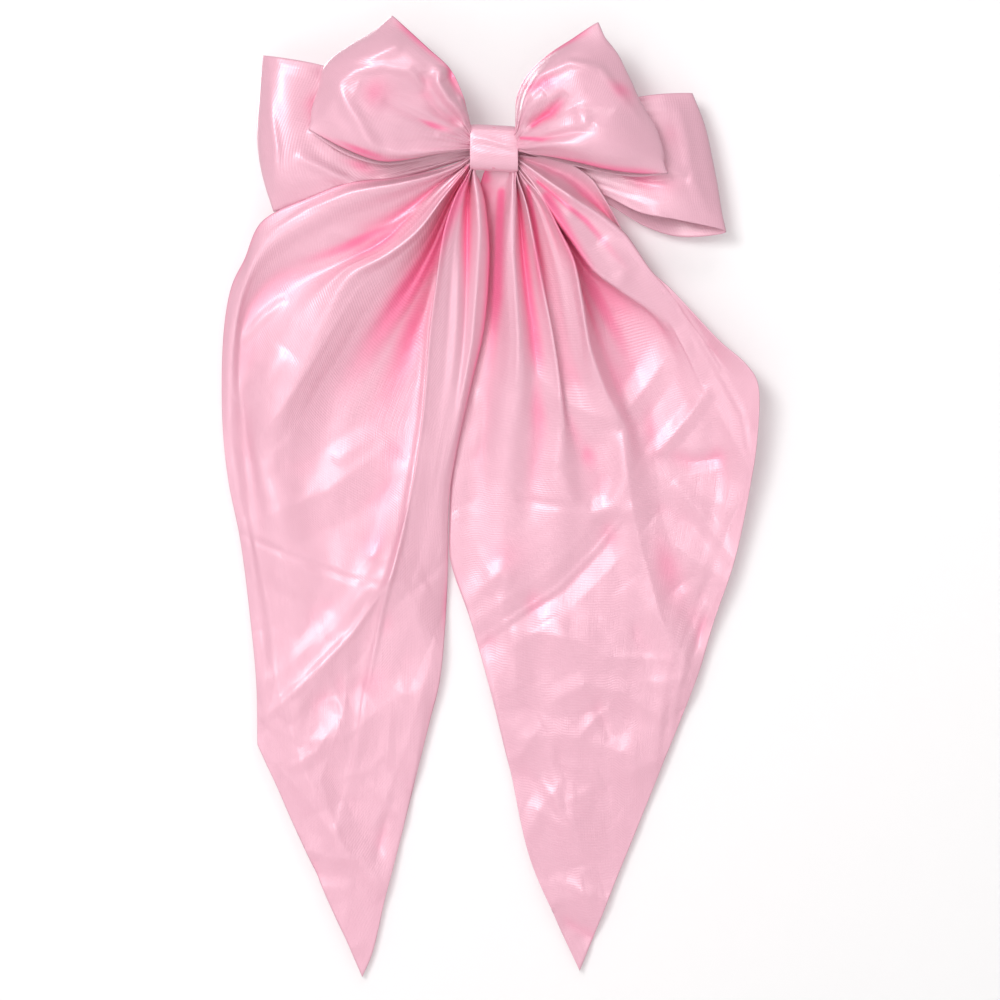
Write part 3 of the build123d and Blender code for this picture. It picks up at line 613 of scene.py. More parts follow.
# %% right tail
RIGHT_TAIL = [
    # selvedge along the outer edge
    [(0, -1.5, 16.8), (8, -2.4, 16.8), (14, -3.4, 17.4), (20, -3.9, 18), (27.4, -4.6, 18), (39.8, -12, 17),
     (46, -21, 16), (60.5, -46, 15), (73.5, -58.5, 15), (81.2, -66.7, 16), (93.7, -80, 17), (104, -89, 17),
     (109, -96.5, 16), (109, -120.6, 13), (106, -141, 10), (99.9, -170.4, 6.5), (91.6, -195, 4),
     (85.4, -216, 1.5), (80, -230.5, 1)],
    # flat panel inside it
    [(0, -2.2, 16.4), (8, -3.2, 16.4), (14, -5.2, 16.6), (22, -8.5, 16.6), (34, -16, 15.4), (46, -27, 13),
     (60, -49, 9.8), (74, -63.5, 11), (86, -78, 11), (98, -92, 12), (104, -106, 11.5), (104, -128, 9.5),
     (100, -150, 7), (94, -175, 4.5), (86, -200, 2), (79, -225, 1.5), (77, -238, 1)],
    # sharp edge of the upper fold
    [(0, -2.9, 17.6), (8, -4, 18.2), (14, -7.6, 19.6), (27.4, -17, 20.4), (43.9, -27.4, 19),
     (54.3, -35.6, 17.6),
     (64.7, -50.2, 15.4), (77.1, -64, 12.4), (84, -75, 11), (93, -90, 10), (99, -110, 8.5), (99.5, -132, 7),
     (95, -155, 5.5), (89, -180, 3), (81, -205, 2.5), (76, -228, 2), (74, -245.5, 1)],
    # middle of that fold
    [(0, -3.6, 17), (8, -4.8, 17.4), (13.4, -9.4, 18), (24, -19.5, 18.6), (38, -32, 18), (49, -45, 16.6),
     (60, -55, 15), (70, -66, 12.6), (78, -80, 9), (87, -97, 6.6), (93, -115, 5.2), (93.5, -137, 4.5),
     (89, -160, 4), (83, -186, 3), (76, -212, 2.5), (71.5, -240, 1.5), (70.5, -254, 1)],
    # its lower edge, standing over the valley
    [(0, -4.2, 17.6), (8, -5.4, 18), (13, -11, 18.6), (21, -22.5, 19.4), (31, -36, 18.6), (41, -50, 16.8),
     (53, -59, 14.2), (64, -66.5, 11.2), (73, -75, 8.4), (81, -90, 6.2), (86, -112, 5), (87, -137, 4),
     (83, -163, 3.5), (77, -190, 3), (71.5, -220, 2.5), (67, -262.9, 1)],
    # cloth tucked under that edge
    [(0, -4.8, 15.8), (8, -6, 15.2), (12.6, -12.6, 13), (20.5, -24, 10.4), (32.4, -38, 7.6), (44, -50, 4.6),
     (56, -60, 3), (66, -70, 2.6), (73, -86, 2.8), (77, -108, 3.3), (79, -137, 3.5), (76, -165, 3),
     (71, -195, 2.5), (66, -230, 2), (63.5, -271.6, 1)],
    # valley floor
    [(0, -5.2, 15.6), (8, -6.4, 14.8), (12.2, -13, 12), (19, -26, 8.6), (29, -44, 4.6), (38, -62, 2.4),
     (46, -80, 1.6), (53, -98, 1.6), (60, -115, 2.6), (66, -140, 3.4), (64, -170, 3), (60, -205, 2.5),
     (57, -245, 2), (57.4, -286.8, 1)],
    # sharp ridge beside the valley
    [(0, -5.8, 17.6), (8, -6.8, 18.2), (13, -12.4, 19.4), (20.4, -21.1, 20), (27, -33.6, 18.8),
     (33, -46, 16.8),
     (36.5, -62.6, 14.4), (39.8, -83.3, 11.6), (45.6, -99.9, 9.4), (52, -112.3, 7.6), (57, -135, 5.5),
     (57, -165, 4), (54, -200, 3), (50, -245, 2), (52, -300, 1)],
    # its left side
    [(0, -6.2, 16.4), (8, -7.2, 16.4), (12, -13.4, 16), (17.6, -22.5, 15), (22.6, -35.5, 13.4),
     (26.8, -50, 11.6),
     (30, -66, 9.6), (34, -86, 7.4), (39, -104, 6), (44, -118, 5.3), (47.5, -140, 4), (46.5, -170, 3.5),
     (44, -205, 2.5), (42, -250, 2), (48, -310.1, 1)],
    # small valley
    [(0, -6.6, 15.8), (8, -7.6, 15.2), (10.8, -14, 13.6), (14, -24, 12), (17, -38, 10.4), (20, -54, 8.8),
     (22, -72, 7.2), (26, -92, 5.8), (31, -110, 4.8), (35, -128, 4.4), (36.5, -150, 4), (35, -180, 3),
     (33.5, -215, 2.5), (34, -260, 2), (45, -317.9, 1)],
    # long soft ridge
    [(0, -7, 17.4), (8, -8, 17.8), (10.2, -14, 18.2), (13, -22, 18.6), (16.4, -38, 17), (20, -56, 14.4),
     (24, -75, 12.2), (27, -95, 10), (28.2, -112, 8.5), (27.5, -133, 7), (27, -155, 5), (25.5, -185, 3.5),
     (25, -220, 2.5), (28, -268, 2), (42.7, -323.4, 1)],
    # valley between the ridges
    [(0, -7.3, 15.8), (8, -8.3, 15.6), (9.2, -14.6, 14), (10.4, -24, 12.4), (12, -40, 10.6), (14, -58, 9),
     (16.5, -78, 7.4), (18, -98, 5.9), (18, -118, 4.8), (16.5, -140, 4), (16, -165, 3.5), (15.5, -195, 2.5),
     (18, -232, 2), (24, -278, 1.5), (40.5, -329, 1)],
    # ridge that falls straight from the band
    [(0, -7.6, 17.4), (8, -8.6, 18), (8.6, -14.4, 18.6), (8.5, -22, 18.8), (7.9, -42, 16.6),
     (9.1, -60, 14.2),
     (10.4, -80, 11.8), (9.5, -100, 9.2), (7, -120, 7), (5, -143, 5), (5, -170, 3.5), (7, -202, 2.5),
     (12, -240, 2), (20.5, -288, 1.5), (38.7, -333.3, 1)],
    # cloth falling away under the left tail
    [(0, -7.9, 16), (5, -9, 15.8), (3.6, -13, 13.4), (2, -22, 11), (-0.5, -40, 7), (-1, -60, 4.6),
     (0, -80, 4), (-3, -104, 3), (-6, -128, 2), (-7, -152, 1.8), (-5.5, -180, 1.5), (-1, -213, 1.5),
     (6, -250, 1.5), (16, -297, 1.2), (37, -337.6, 1)],
    # inner selvedge
    [(0, -8.2, 16), (-2.5, -8.8, 15), (-5, -12.5, 11.5), (-7, -21, 8), (-8, -38, 4), (-9, -60, 2),
     (-10, -84, 1.6), (-13, -110, 1.2), (-17.5, -135, 1.2), (-18.5, -155, 1.2), (-18.2, -170, 1.2),
     (-9.9, -195, 1.2), (-1.7, -224, 1.2), (6.6, -257, 1.2), (19.1, -298.9, 1), (24, -315.4, 1),
     (35.6, -341.1, 1)],
]  # fmt: skip
right_grid = loft([front(g) for g in RIGHT_TAIL], TAIL_ACROSS, TAIL_ALONG)
lower = np.clip((-right_grid[..., 2] - 20) / 120, 0, 1)
press(right_grid, [
    ([(11, -6), (27, -17), (44, -28), (54, -36), (65, -51), (77, -65), (85, -77), (94, -92)], 1.1, 1.2),
    ([(13, -12), (20, -21), (27, -34), (33, -46), (36, -63), (40, -83), (46, -100),
      (52, -112)], 1.1, 1.2),
    ([(8.5, -14), (8.5, -22), (8, -42), (9, -60), (10, -80), (9, -100)], 0.9, 1.1),
    ([(14, -12), (21, -22), (31, -36), (41, -50), (53, -59), (64, -66), (73, -75)], 0.9, 1.2),
    ([(12, -18), (15, -31), (19, -50), (23, -70), (27, -95), (28, -112)], 0.8, 1.3),
    ([(73.8, -75), (85.4, -96), (102, -125), (107, -136)], 1.6, 9, "kink"),
    ([(10, -86), (27, -104), (40, -110), (53, -113)], 1.6, 11, "kink"),
    ([(52, -113), (64, -97), (73, -84), (82, -81)], 1.2, 8, "kink"),
    ([(53, -116), (58, -154), (65, -179), (73, -208), (81, -231)], 2.6, 12, "kink"),
    ([(29, -133), (33, -146), (40, -152), (50, -147), (54, -136), (53, -118)], 1.4, 4),
    ([(-16, -212), (-4, -204), (12, -193), (27, -183), (42, -168), (57, -150)], -1.8, 9, "kink"),
    ([(-14, -211), (-4, -203), (12, -192), (27, -182), (42, -167), (56, -150)], 0.7, 1.3),
    ([(-12, -190), (-6, -182), (2, -176), (8, -180)], 1.2, 4),
    ([(80, -70), (92, -90), (103, -110), (106, -128)], 0.8, 1.3),
    ([(66, -128), (80, -112), (90, -98)], 1.3, 5, "kink"),
    ([(66, -126), (82, -130), (100, -126)], -1.1, 5, "kink"),
    ([(74, -138), (86, -152), (100, -172)], 1.2, 5, "kink"),
    ([(20, -232), (38, -222), (54, -226), (72, -238)], 1.0, 7, "kink"),
    ([(64, -156), (82, -170), (101, -182)], 1.5, 11, "kink"),
    ([(60, -130), (78, -140), (100, -150)], 1.4, 12, "kink"),
    ([(-16, -150), (-2, -176), (8, -204), (10, -232)], 1.4, 14, "kink"),
    ([(-12, -192), (14, -200), (36, -204), (56, -214), (78, -232)], 1.5, 14, "kink"),
    ([(15, -222), (26, -252), (38, -296)], 1.3, 12, "kink"),
    ([(4, -246), (28, -243), (52, -250), (70, -256)], 1.2, 14, "kink"),
    ([(24, -316), (40, -327), (46, -330)], -1.6, 6, "kink"),
    ([(24, -11), (31, -18), (33, -30)], 1.2, 3),
    ([(44, -38), (54, -50), (52, -58)], 1.4, 4),
])  # fmt: skip
rumple(right_grid, 11, 34, 0.8, (0.8, 1.4), lower)
rumple(right_grid, 13, 13, 0.3, (0.8, 1.3), lower)
rumple(right_grid, 17, 5, 0.12, (1, 1.6), lower)
fine_pleats(right_grid, 4, 26, 2.2, 80)
crumple(right_grid, 102, 14, (-15, -340, 95, -190), 80, 1.6, 12)
crumple(right_grid, 104, 30, (-15, -340, 95, -110), 34, 0.6, 5)
gather(right_grid, "tail_gather_thread", 5)
# painted shade along the right tail's broad valleys: (line, width, strength)
RIGHT_VALLEYS = [
    ([(22, -20), (34, -43), (42, -59), (52, -78), (60, -98), (64, -118)], 4.2, 1.0),
    ([(3, -18), (2, -43), (1, -62), (-2, -90), (-6, -120)], 3.4, 1.0),
    ([(14, -16), (17, -32), (19, -52), (22, -80)], 1.7, 0.95),
    ([(18, -14), (38, -30), (50, -44), (62, -58)], 1.6, 0.85),
    ([(-4, -8), (-4, -12), (-3, -19)], 3.5, 1.0),
    ([(36, -118), (40, -130), (43, -142)], 4.5, 0.55),
    ([(66, -152), (74, -180), (84, -208)], 7.0, 0.45),
    ([(64, -100), (66, -120), (66, -142)], 6.0, 0.4),
    ([(-8, -176), (6, -168), (24, -160)], 9.0, 0.3),
]
right_tail = cloth_piece("right_tail", right_grid, satin, deep=RIGHT_VALLEYS)


# %% [markdown]
# ## The loops
# Each loop is a strip that leaves the band, turns round at its far fold and comes back behind itself.
# The guides run that whole way, from the top selvedge to the bottom one. Creases are pressed only into
# the front layer.

# %% loops
def loop_guide(out, back):
    """A guide line from (x, z, y) points of the front layer and of the back layer, in mm."""
    return [(x, y, z) for x, z, y in [*out, *back]]


def front_layer(grid):
    """1 on the front layer of a loop, fading to 0 round its far fold."""
    along = np.linspace(0, 1, grid.shape[1])[None, :]
    return np.clip((0.5 - along) * 12, 0, 1) * np.ones(grid.shape[:2])


def loop_grid(guides, creases, seed, soft, across, pleats, fine, thread):
    """A loop from its guides: its front layer creased and rumpled, and both ends gathered in a thread."""
    grid = loft(guides, across, LOOP_ALONG)
    face = front_layer(grid)
    press(grid, creases, face)
    fine_pleats(grid, seed + 3, *pleats, face)
    rumple(grid, seed + 1, 26, soft, (1, 1), face)
    rumple(grid, seed + 2, 9, fine, (1, 1), face)
    gather(grid, thread, 4, layers=2)
    return grid


LOOP_ALONG = 210
FRONT = {"across": 84, "pleats": (15, 1.5, 42), "fine": 0.22, "thread": "front_gather_thread"}
BACK = {"across": 76, "pleats": (11, 1.2, 60), "fine": 0.2, "thread": "back_gather_thread"}


FRONT_LEFT_LOOP = [
    loop_guide(
        [(0, 6, -11.6), (-8, 6.5, -12), (-10.8, 14, -17), (-13, 22, -22), (-18, 32, -25),
         (-27, 40.5, -25), (-35, 48, -22),
         (-42, 54.3, -17.5)],
        [(-36, 46, -14.5), (-25, 31, -12.5), (-14, 14, -11.8), (-8, 5, -11.6), (0, 5, -11.2)]),
    loop_guide(
        [(0, 5, -12.6), (-8, 5.2, -13), (-12.5, 12, -20), (-17, 20, -25), (-25, 28.5, -29),
         (-35, 37, -30.5),
         (-44, 43.5, -28), (-50, 47.5, -18)],
        [(-42, 38, -14.2), (-28, 26, -12.2), (-15, 11, -11.8), (-8, 4, -11.6), (0, 4, -11.2)]),
    loop_guide(
        [(0, 3.4, -12.2), (-8, 3.6, -12.2), (-14, 9, -17.5), (-21, 14, -22), (-31, 20.5, -26),
         (-45, 30, -30),
         (-55, 36.5, -28.5), (-61, 41, -18.5)],
        [(-51, 33, -13.8), (-32, 18, -12), (-16, 8, -11.8), (-8, 3, -11.6), (0, 3, -11.2)]),
    loop_guide(
        [(0, 2.2, -12.8), (-8, 2.2, -13), (-14.5, 5, -18), (-23, 8, -22.5), (-35, 12, -26.5),
         (-50, 20, -30),
         (-62.5, 28.5, -28.5), (-69.5, 34, -18.5)],
        [(-57, 26, -13.6), (-34, 11, -12), (-17, 4.6, -11.8), (-8, 2, -11.6), (0, 2, -11.2)]),
    loop_guide(
        [(0, 1, -12.2), (-8, 1, -12.2), (-15, 1.6, -17), (-24, 2.6, -20.5), (-37, 4, -24), (-52, 9, -27.5),
         (-66, 17.5, -26), (-72.5, 24, -18.3)],
        [(-60, 16, -13.8), (-38, 5, -12.2), (-18, 2, -11.8), (-8, 1, -11.6), (0, 1, -11.2)]),
    loop_guide(
        [(0, 0, -12.6), (-8, 0, -13), (-15, -0.8, -17.6), (-24, -1.8, -21.5), (-37, -3, -24.5),
         (-53, 0, -25), (-68, 8.5, -22),
         (-75.3, 14.5, -18)],
        [(-63, 6, -14.4), (-42, -1.5, -12.6), (-20, -1, -11.8), (-8, 0, -11.6), (0, 0, -11.2)]),
    loop_guide(
        [(0, -1, -12.2), (-8, -0.8, -12.2), (-15, -1.4, -15), (-24, -2.6, -17.5), (-37, -5.2, -19.5),
         (-47, -5.6, -20.5),
         (-62, -0.3, -19.8), (-76.8, 7.5, -17.6)],
        [(-62, -2.4, -15), (-45, -7, -13.2), (-22, -3, -11.9), (-8, -1, -11.6), (0, -1, -11.2)]),
]  # fmt: skip
FRONT_LEFT_CREASES = [
    ([(-68, 29), (-63, 21), (-57, 12), (-51, 2), (-48, -4)], 2.2, 3.0),
    ([(-76, 9), (-70, 14), (-66, 22)], 1.4, 2.6),
    ([(-66, 25), (-57, 31), (-45, 33), (-35, 31), (-26, 22), (-17, 11)], 1.6, 2.2),
    ([(-60, 36), (-50, 37), (-41, 41), (-38, 48)], 1.6, 3.0),
    ([(-56, 24), (-45, 20), (-33, 22), (-27, 30)], -1.5, 6.0),
    ([(-10, 4), (-20, 7), (-33, 13), (-46, 19)], -2.2, 2.2),
    ([(-10, 8), (-18, 14), (-25, 24), (-30, 33)], -1.2, 2.4),
    ([(-11, 10), (-16, 7), (-24, 5)], 1.2, 1.8),
    ([(-22, 33), (-23, 26), (-19, 19), (-13, 14), (-10, 12)], 3.6, 2.2),
    ([(-29, 31), (-28, 22), (-22, 14), (-13, 9)], -2.0, 2.4),
    ([(-18, 34), (-18, 28), (-14, 20)], -2.2, 1.6),
]  # fmt: skip
front_left = loop_grid(FRONT_LEFT_LOOP, FRONT_LEFT_CREASES, seed=20, soft=0.7, **FRONT)

FRONT_RIGHT_LOOP = [
    loop_guide(
        [(0, 6, -11.6), (8, 6.5, -12), (8.9, 13, -16), (9.3, 20, -18.5), (13, 28.6, -19.5),
         (21, 37, -20.5), (32, 44.5, -19.5),
         (43.1, 51.6, -17.5)],
        [(31, 38, -14.5), (19, 22, -12.4), (12, 11, -11.8), (8, 5, -11.6), (0, 5, -11.2)]),
    loop_guide(
        [(0, 5, -12.6), (8, 5.4, -13), (10.6, 13, -20), (13, 22, -24.5), (19, 31, -27), (29, 37.5, -27),
         (40, 40, -24),
         (50, 40, -18.2)],
        [(36, 31, -14), (22, 18, -12.2), (13, 9, -11.8), (8, 4, -11.6), (0, 4, -11.2)]),
    loop_guide(
        [(0, 3.4, -12.8), (8, 3.8, -13.2), (12, 10, -21), (16.5, 18, -27), (25, 25.5, -31),
         (36, 29, -31.5), (48, 28.5, -26.5),
         (56.5, 27.5, -18.6)],
        [(41, 22, -13.8), (25, 13, -12), (14, 6, -11.8), (8, 3, -11.6), (0, 3, -11.2)]),
    loop_guide(
        [(0, 2.2, -12), (8, 2.4, -12.2), (13, 6, -19), (19.5, 11.5, -24.5), (30, 16, -28.5),
         (43, 17.5, -30), (55, 16.5, -26),
         (62, 16, -18.8)],
        [(46, 12, -13.8), (28, 7, -12), (15, 3.4, -11.8), (8, 2, -11.6), (0, 2, -11.2)]),
    loop_guide(
        [(0, 1, -12.8), (8, 1, -13), (13.5, 2, -20), (21, 4.5, -26.5), (33, 6.5, -31), (47, 6.5, -31.5),
         (59, 6, -26.5),
         (67.5, 6.5, -18.8)],
        [(51, 3, -13.8), (31, 1.4, -12.2), (16, 1, -11.8), (8, 1, -11.6), (0, 1, -11.2)]),
    loop_guide(
        [(0, 0, -12), (8, 0, -12.4), (13.5, -0.8, -18), (21, -0.4, -24.5), (34, -1.5, -29),
         (49, -3, -29), (61, -3, -25),
         (70, -2.5, -18.4)],
        [(54, -6, -14), (34, -4, -12.4), (17, -1.4, -11.8), (8, 0, -11.6), (0, 0, -11.2)]),
    loop_guide(
        [(0, -1, -12.2), (8, -1, -12.2), (14, -2.4, -15.6), (22, -3.6, -19.5), (35, -6.4, -22.5),
         (48, -9.4, -22.5),
         (60, -10.8, -20.5), (71.8, -10.8, -17.8)],
        [(58, -12, -15), (38, -8.6, -13), (18, -3.6, -12), (8, -1, -11.6), (0, -1, -11.2)]),
]  # fmt: skip
FRONT_RIGHT_CREASES = [
    ([(9.5, 10), (13, 20), (19, 29), (31, 34.5), (44, 32.5), (54, 20), (61, 11), (68, 9)], 1.9, 1.9),
    ([(15, 22), (25, 28), (38, 26), (50, 15)], -1.6, 6.0),
    ([(9, 8), (15, 9.5), (23, 13.7), (30, 22)], -2.8, 2.2),
    ([(9.5, 3.6), (18, 3.6), (28, 5), (42, 8.3)], -2.2, 2.0),
    ([(10, 14), (16, 18), (21, 22)], 1.5, 2.6),
    ([(34, 17), (37, 12), (37, 6)], 1.4, 3.2),
    ([(10, 0.8), (24, 1), (40, -1)], 0.9, 2.0),
]  # fmt: skip
front_right = loop_grid(FRONT_RIGHT_LOOP, FRONT_RIGHT_CREASES, seed=30, soft=0.7, **FRONT)
# painted shade along the front loops' valleys; deep_before keeps it to cloth in front of y = -15 mm
FRONT_VALLEYS = [
    ([(-58, 24), (-48, 22), (-36, 15)], 8.0, 0.5),
    ([(-33, 12), (-25, 9), (-12, 5)], 1.5, 0.9),
    ([(-70, 5), (-56, -1), (-42, -6), (-28, -5)], 1.6, 0.9),
    ([(16, 9), (22, 14), (27, 21)], 2.0, 1.0),
    ([(14, 24), (24, 27), (34, 25)], 4.0, 0.7),
    ([(45, 29), (54, 22), (61, 12)], 3.6, 0.6),
    ([(10, 4), (20, 3), (30, 5)], 1.3, 0.9),
]
front_loops = cloth_piece(
    "front_loops", strip_through(front_left, front_right), satin, deep=FRONT_VALLEYS, deep_before=-15.0
)

BACK_LEFT_LOOP = [
    loop_guide(
        [(0, 6, -6), (-9, 6.4, -6.2), (-16, 10, -7), (-32, 19, -8), (-52, 27.5, -8.6), (-70, 34, -8.6),
         (-90, 37.8, -7.6), (-95.8, 38.5, -2)],
        [(-88, 36, 0.2), (-66, 31, 0), (-40, 21, -3), (-20, 11, -4.6), (-9, 6, -4.6), (0, 6, -4.6)]),
    loop_guide(
        [(0, 4, -6.6), (-9, 4.2, -7), (-17, 7, -8.2), (-34, 12, -9.4), (-54, 16.5, -9.8),
         (-72, 20.5, -10), (-91, 22.8, -10), (-97, 22.8, -2)],
        [(-88, 21, 1.4), (-66, 18, 1), (-42, 12, -3.4), (-20, 7, -4.7), (-9, 4, -4.7), (0, 4, -4.6)]),
    loop_guide(
        [(0, 1.6, -6), (-9, 1.6, -6.2), (-18, 2.4, -6.8), (-35, 3.6, -7.6), (-56, 4.4, -9),
         (-74, 4.6, -10.4),
         (-92, 4, -10.2), (-98, 3.7, -2)],
        [(-88, 3, 2), (-66, 3, 1.4), (-44, 2.6, -4), (-20, 2, -4.9), (-9, 1.6, -4.9), (0, 1.6, -4.6)]),
    loop_guide(
        [(0, -0.8, -6.6), (-9, -1, -6.8), (-18, -2.4, -7), (-35, -5.4, -6.8), (-56, -8.4, -7.6),
         (-74, -10.6, -9),
         (-89.5, -12, -9), (-95.6, -12, -2)],
        [(-86, -12, 1.6), (-66, -9, 0.8), (-44, -6, -4), (-20, -3, -4.9), (-9, -1, -4.9), (0, -1, -4.6)]),
    loop_guide(
        [(0, -3.4, -6), (-9, -3.8, -6), (-18, -6, -6.2), (-35, -11, -6), (-56, -17, -5.6),
         (-72, -21.5, -5), (-84, -24.4, -3.6), (-91.6, -26, -1)],
        [(-84, -25, 0.6), (-64, -20, -0.6), (-42, -14, -3.4), (-20, -7, -4.7), (-9, -4, -4.7),
         (0, -3.6, -4.6)]),
]  # fmt: skip
BACK_LEFT_CREASES = [
    ([(-93, 38), (-93, 18), (-90, 0), (-91, -20)], 1.6, 1.7),
    ([(-82, -3), (-72, -8), (-60, -14), (-48, -16)], 1.6, 2.4),
    ([(-76, 8), (-66, -1), (-52, -6)], 1.2, 2.6),
    ([(-96, 36), (-84, 34), (-72, 32)], 0.9, 4.0, "kink"),
]  # fmt: skip
back_left = loop_grid(BACK_LEFT_LOOP, BACK_LEFT_CREASES, seed=40, soft=0.6, **BACK)

BACK_RIGHT_LOOP = [
    loop_guide(
        [(0, 6, -6), (9, 6.4, -6.2), (16, 8.5, -7), (30, 13, -8), (46, 18, -8.6), (62, 21.6, -8),
         (73, 22.8, -5.5), (82.2, 23, -2)],
        [(74, 22, 0.2), (56, 19, 0), (36, 13, -3.4), (20, 8, -4.6), (9, 6, -4.6), (0, 6, -4.6)]),
    loop_guide(
        [(0, 4, -6.6), (9, 4, -7), (17, 5, -8.2), (32, 7, -9.4), (50, 9.4, -11), (66, 10.4, -11.5),
         (79, 10.4, -8.6), (87.2, 10, -2)],
        [(78, 9.6, 1.4), (58, 8, 1), (40, 6, -3.8), (20, 4, -4.8), (9, 4, -4.7), (0, 4, -4.6)]),
    loop_guide(
        [(0, 1.6, -6), (9, 1.4, -6.2), (18, 0.6, -6.6), (34, -0.8, -7.2), (53, -2.6, -9.5),
         (69, -4.4, -12), (82, -5, -9.4), (90.6, -5, -2)],
        [(82, -5.6, 2), (62, -4, 1.4), (42, -2, -4), (20, 0, -4.9), (9, 1.4, -4.9), (0, 1.6, -4.6)]),
    loop_guide(
        [(0, -0.8, -6.6), (9, -1.2, -6.8), (18, -4, -6.8), (35, -9.6, -6.6), (54, -15, -8.6),
         (71, -18.4, -11.5), (84, -19.6, -9), (93.4, -20, -2)],
        [(84, -20.4, 3), (64, -17, 2), (44, -11, -4), (20, -4.4, -4.9), (9, -1.2, -4.9), (0, -1, -4.6)]),
    loop_guide(
        [(0, -3.4, -6), (9, -4, -6), (18, -8, -5.8), (34, -14.6, -5.4), (46, -19.4, -6.4),
         (60.5, -26.6, -9), (76, -29.6, -9), (96.2, -34.4, -2.4)],
        [(78, -36.4, 3.4), (64, -32.6, 3), (44, -21, -3.4), (20, -9, -4.6), (9, -4, -4.7),
         (0, -3.6, -4.6)]),
]  # fmt: skip
BACK_RIGHT_CREASES = [
    ([(76, 20), (80, 2), (82, -12), (90, -28)], 1.2, 4.0, "kink"),
    ([(62, 4), (72, -8), (80, -12)], 0.9, 4.0, "kink"),
    ([(50, -10), (64, -13), (79, -13), (84, -4)], -0.8, 3.0, "kink"),
    ([(56, -20), (66, -26), (72, -31)], 0.8, 3.0),
]  # fmt: skip
back_right = loop_grid(BACK_RIGHT_LOOP, BACK_RIGHT_CREASES, seed=50, soft=0.5, **BACK)
# painted shade along the back loops' valleys; deep_before keeps it to cloth in front of y = -5.2 mm
BACK_VALLEYS = [
    ([(-74, 26), (-74, 16), (-72, 6)], 6.0, 0.5),
    ([(-66, -3), (-50, -9), (-36, -10)], 3.5, 0.6),
    ([(48, -10), (66, -14), (84, -18)], 4.5, 0.7),
    ([(70, 14), (74, 2), (78, -8)], 5.0, 0.25),
]
back_loops = cloth_piece(
    "back_loops", strip_through(back_left, back_right), satin, deep=BACK_VALLEYS, deep_before=-5.2
)


# %% [markdown]
# ## The centre band
# The band is a strip folded along both sides into a flat tube, wrapped once round the waist and the
# clip, and sewn to itself behind, where its ends overlap. It is laid out the same way: a path across
# the folded strip, carried along a path round the waist.

# %% centre band
band_low, band_high = (np.array(corner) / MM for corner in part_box("centre_band"))
BAND_HALF_X, BAND_HALF_Z = band_high[0], band_high[2]
BAND_FRONT_Y, BAND_BACK_Y = band_low[1], band_high[1]
BAND_CLOTH = 0.18  # mm
OVERLAP_Z = 3.4  # mm, half the lap of the two sewn ends
BAND_TURN = 0.055  # slope of the band across the bow


def band_path():
    """Points round the waist (0, y, z), from the inner end, over the top and the front, to the outer end."""
    back_inner, back_outer = BAND_BACK_Y - 0.74, BAND_BACK_Y - 0.26
    side, front_y = BAND_HALF_Z - 0.5, BAND_FRONT_Y + 0.25
    top = [(back_inner, -OVERLAP_Z), (back_inner, 0), (back_inner, OVERLAP_Z), (-2.3, 5.6), (-4.2, 8.8)]
    over = [(-8, side), (-11.4, side - 0.3), (-13.4, side - 2.2), (front_y + 0.15, 4), (front_y, 0)]
    under = [(front_y + 0.15, -4), (-13.4, 2.2 - side), (-11.4, 0.3 - side), (-8, -side)]
    bottom = [(-4.2, -8.8), (-2.2, -5.8), (back_outer, -OVERLAP_Z), (back_outer, 0), (back_outer, OVERLAP_Z)]
    return [(0, y, z) for y, z in [*top, *over, *under, *bottom]]


def folded_strip(points_flat=26, points_turn=7):
    """Places across the folded strip: (x, offset from the middle), from one raw edge to the other."""
    reach, gap = BAND_HALF_X - 0.25, 0.14
    turn = np.linspace(-pi / 2, pi / 2, points_turn)
    inner_a = [(x, -gap) for x in np.linspace(0.4, -reach, points_flat)]
    left = [(-reach - gap * cos(a), gap * sin(a)) for a in turn]
    outer = [(x, gap) for x in np.linspace(-reach, reach, 2 * points_flat)]
    right = [(reach + gap * cos(a), -gap * sin(a)) for a in turn]
    inner_b = [(x, -gap) for x in np.linspace(reach, -0.4, points_flat)]
    return np.array([*inner_a, *left[1:-1], *outer, *right[1:-1], *inner_b])


around = smooth_line(band_path(), 240)
tangent = np.gradient(around, axis=0)
tangent /= np.linalg.norm(tangent, axis=1, keepdims=True)
outward = np.stack([np.zeros(len(around)), -tangent[:, 2], tangent[:, 1]], 1)
outward *= np.sign(np.sum(outward * (around - [0, -8, 0]), axis=1, keepdims=True))
across = folded_strip()
share = np.abs(across[:, 0]) / BAND_HALF_X
offset = across[:, 1] - 0.35 * share**6
grid = around[None] + offset[:, None, None] * outward[None]
grid[..., 0] += across[:, 0][:, None]
grid[..., 2] -= BAND_TURN * grid[..., 0]
on_front = np.clip((-grid[..., 1] - 11) / 2, 0, 1)
press(grid, [
    ([(-9.4, 4.8), (-3, 3.6), (3, 1.6), (9.4, 0.6)], 0.35, 1.3),
    ([(-9.6, -1), (-2, -2.2), (6, -5.4)], 0.22, 2.2),
    ([(-9, 1.6), (0, 0.4), (9, -2.2)], -0.25, 1.2),
], on_front)  # fmt: skip
rumple(grid, 61, 5, 0.22, (1.6, 1), on_front)
# the band's closed folds get the painted shade too; deep_at sets how deep a fold must be for the full deeper
# pink
band = cloth_piece("band", grid, satin, thickness=BAND_CLOTH, deep_at=0.6)


# %% [markdown]
# ## Gathering threads and stitches
# Each waist is wound with a few turns of thread, and one short row of whip stitches closes the band.
# Turns and stitches repeat, so Geometry Nodes make them: one tree winds a thread, the other repeats a
# stitch. Both end as plain meshes.

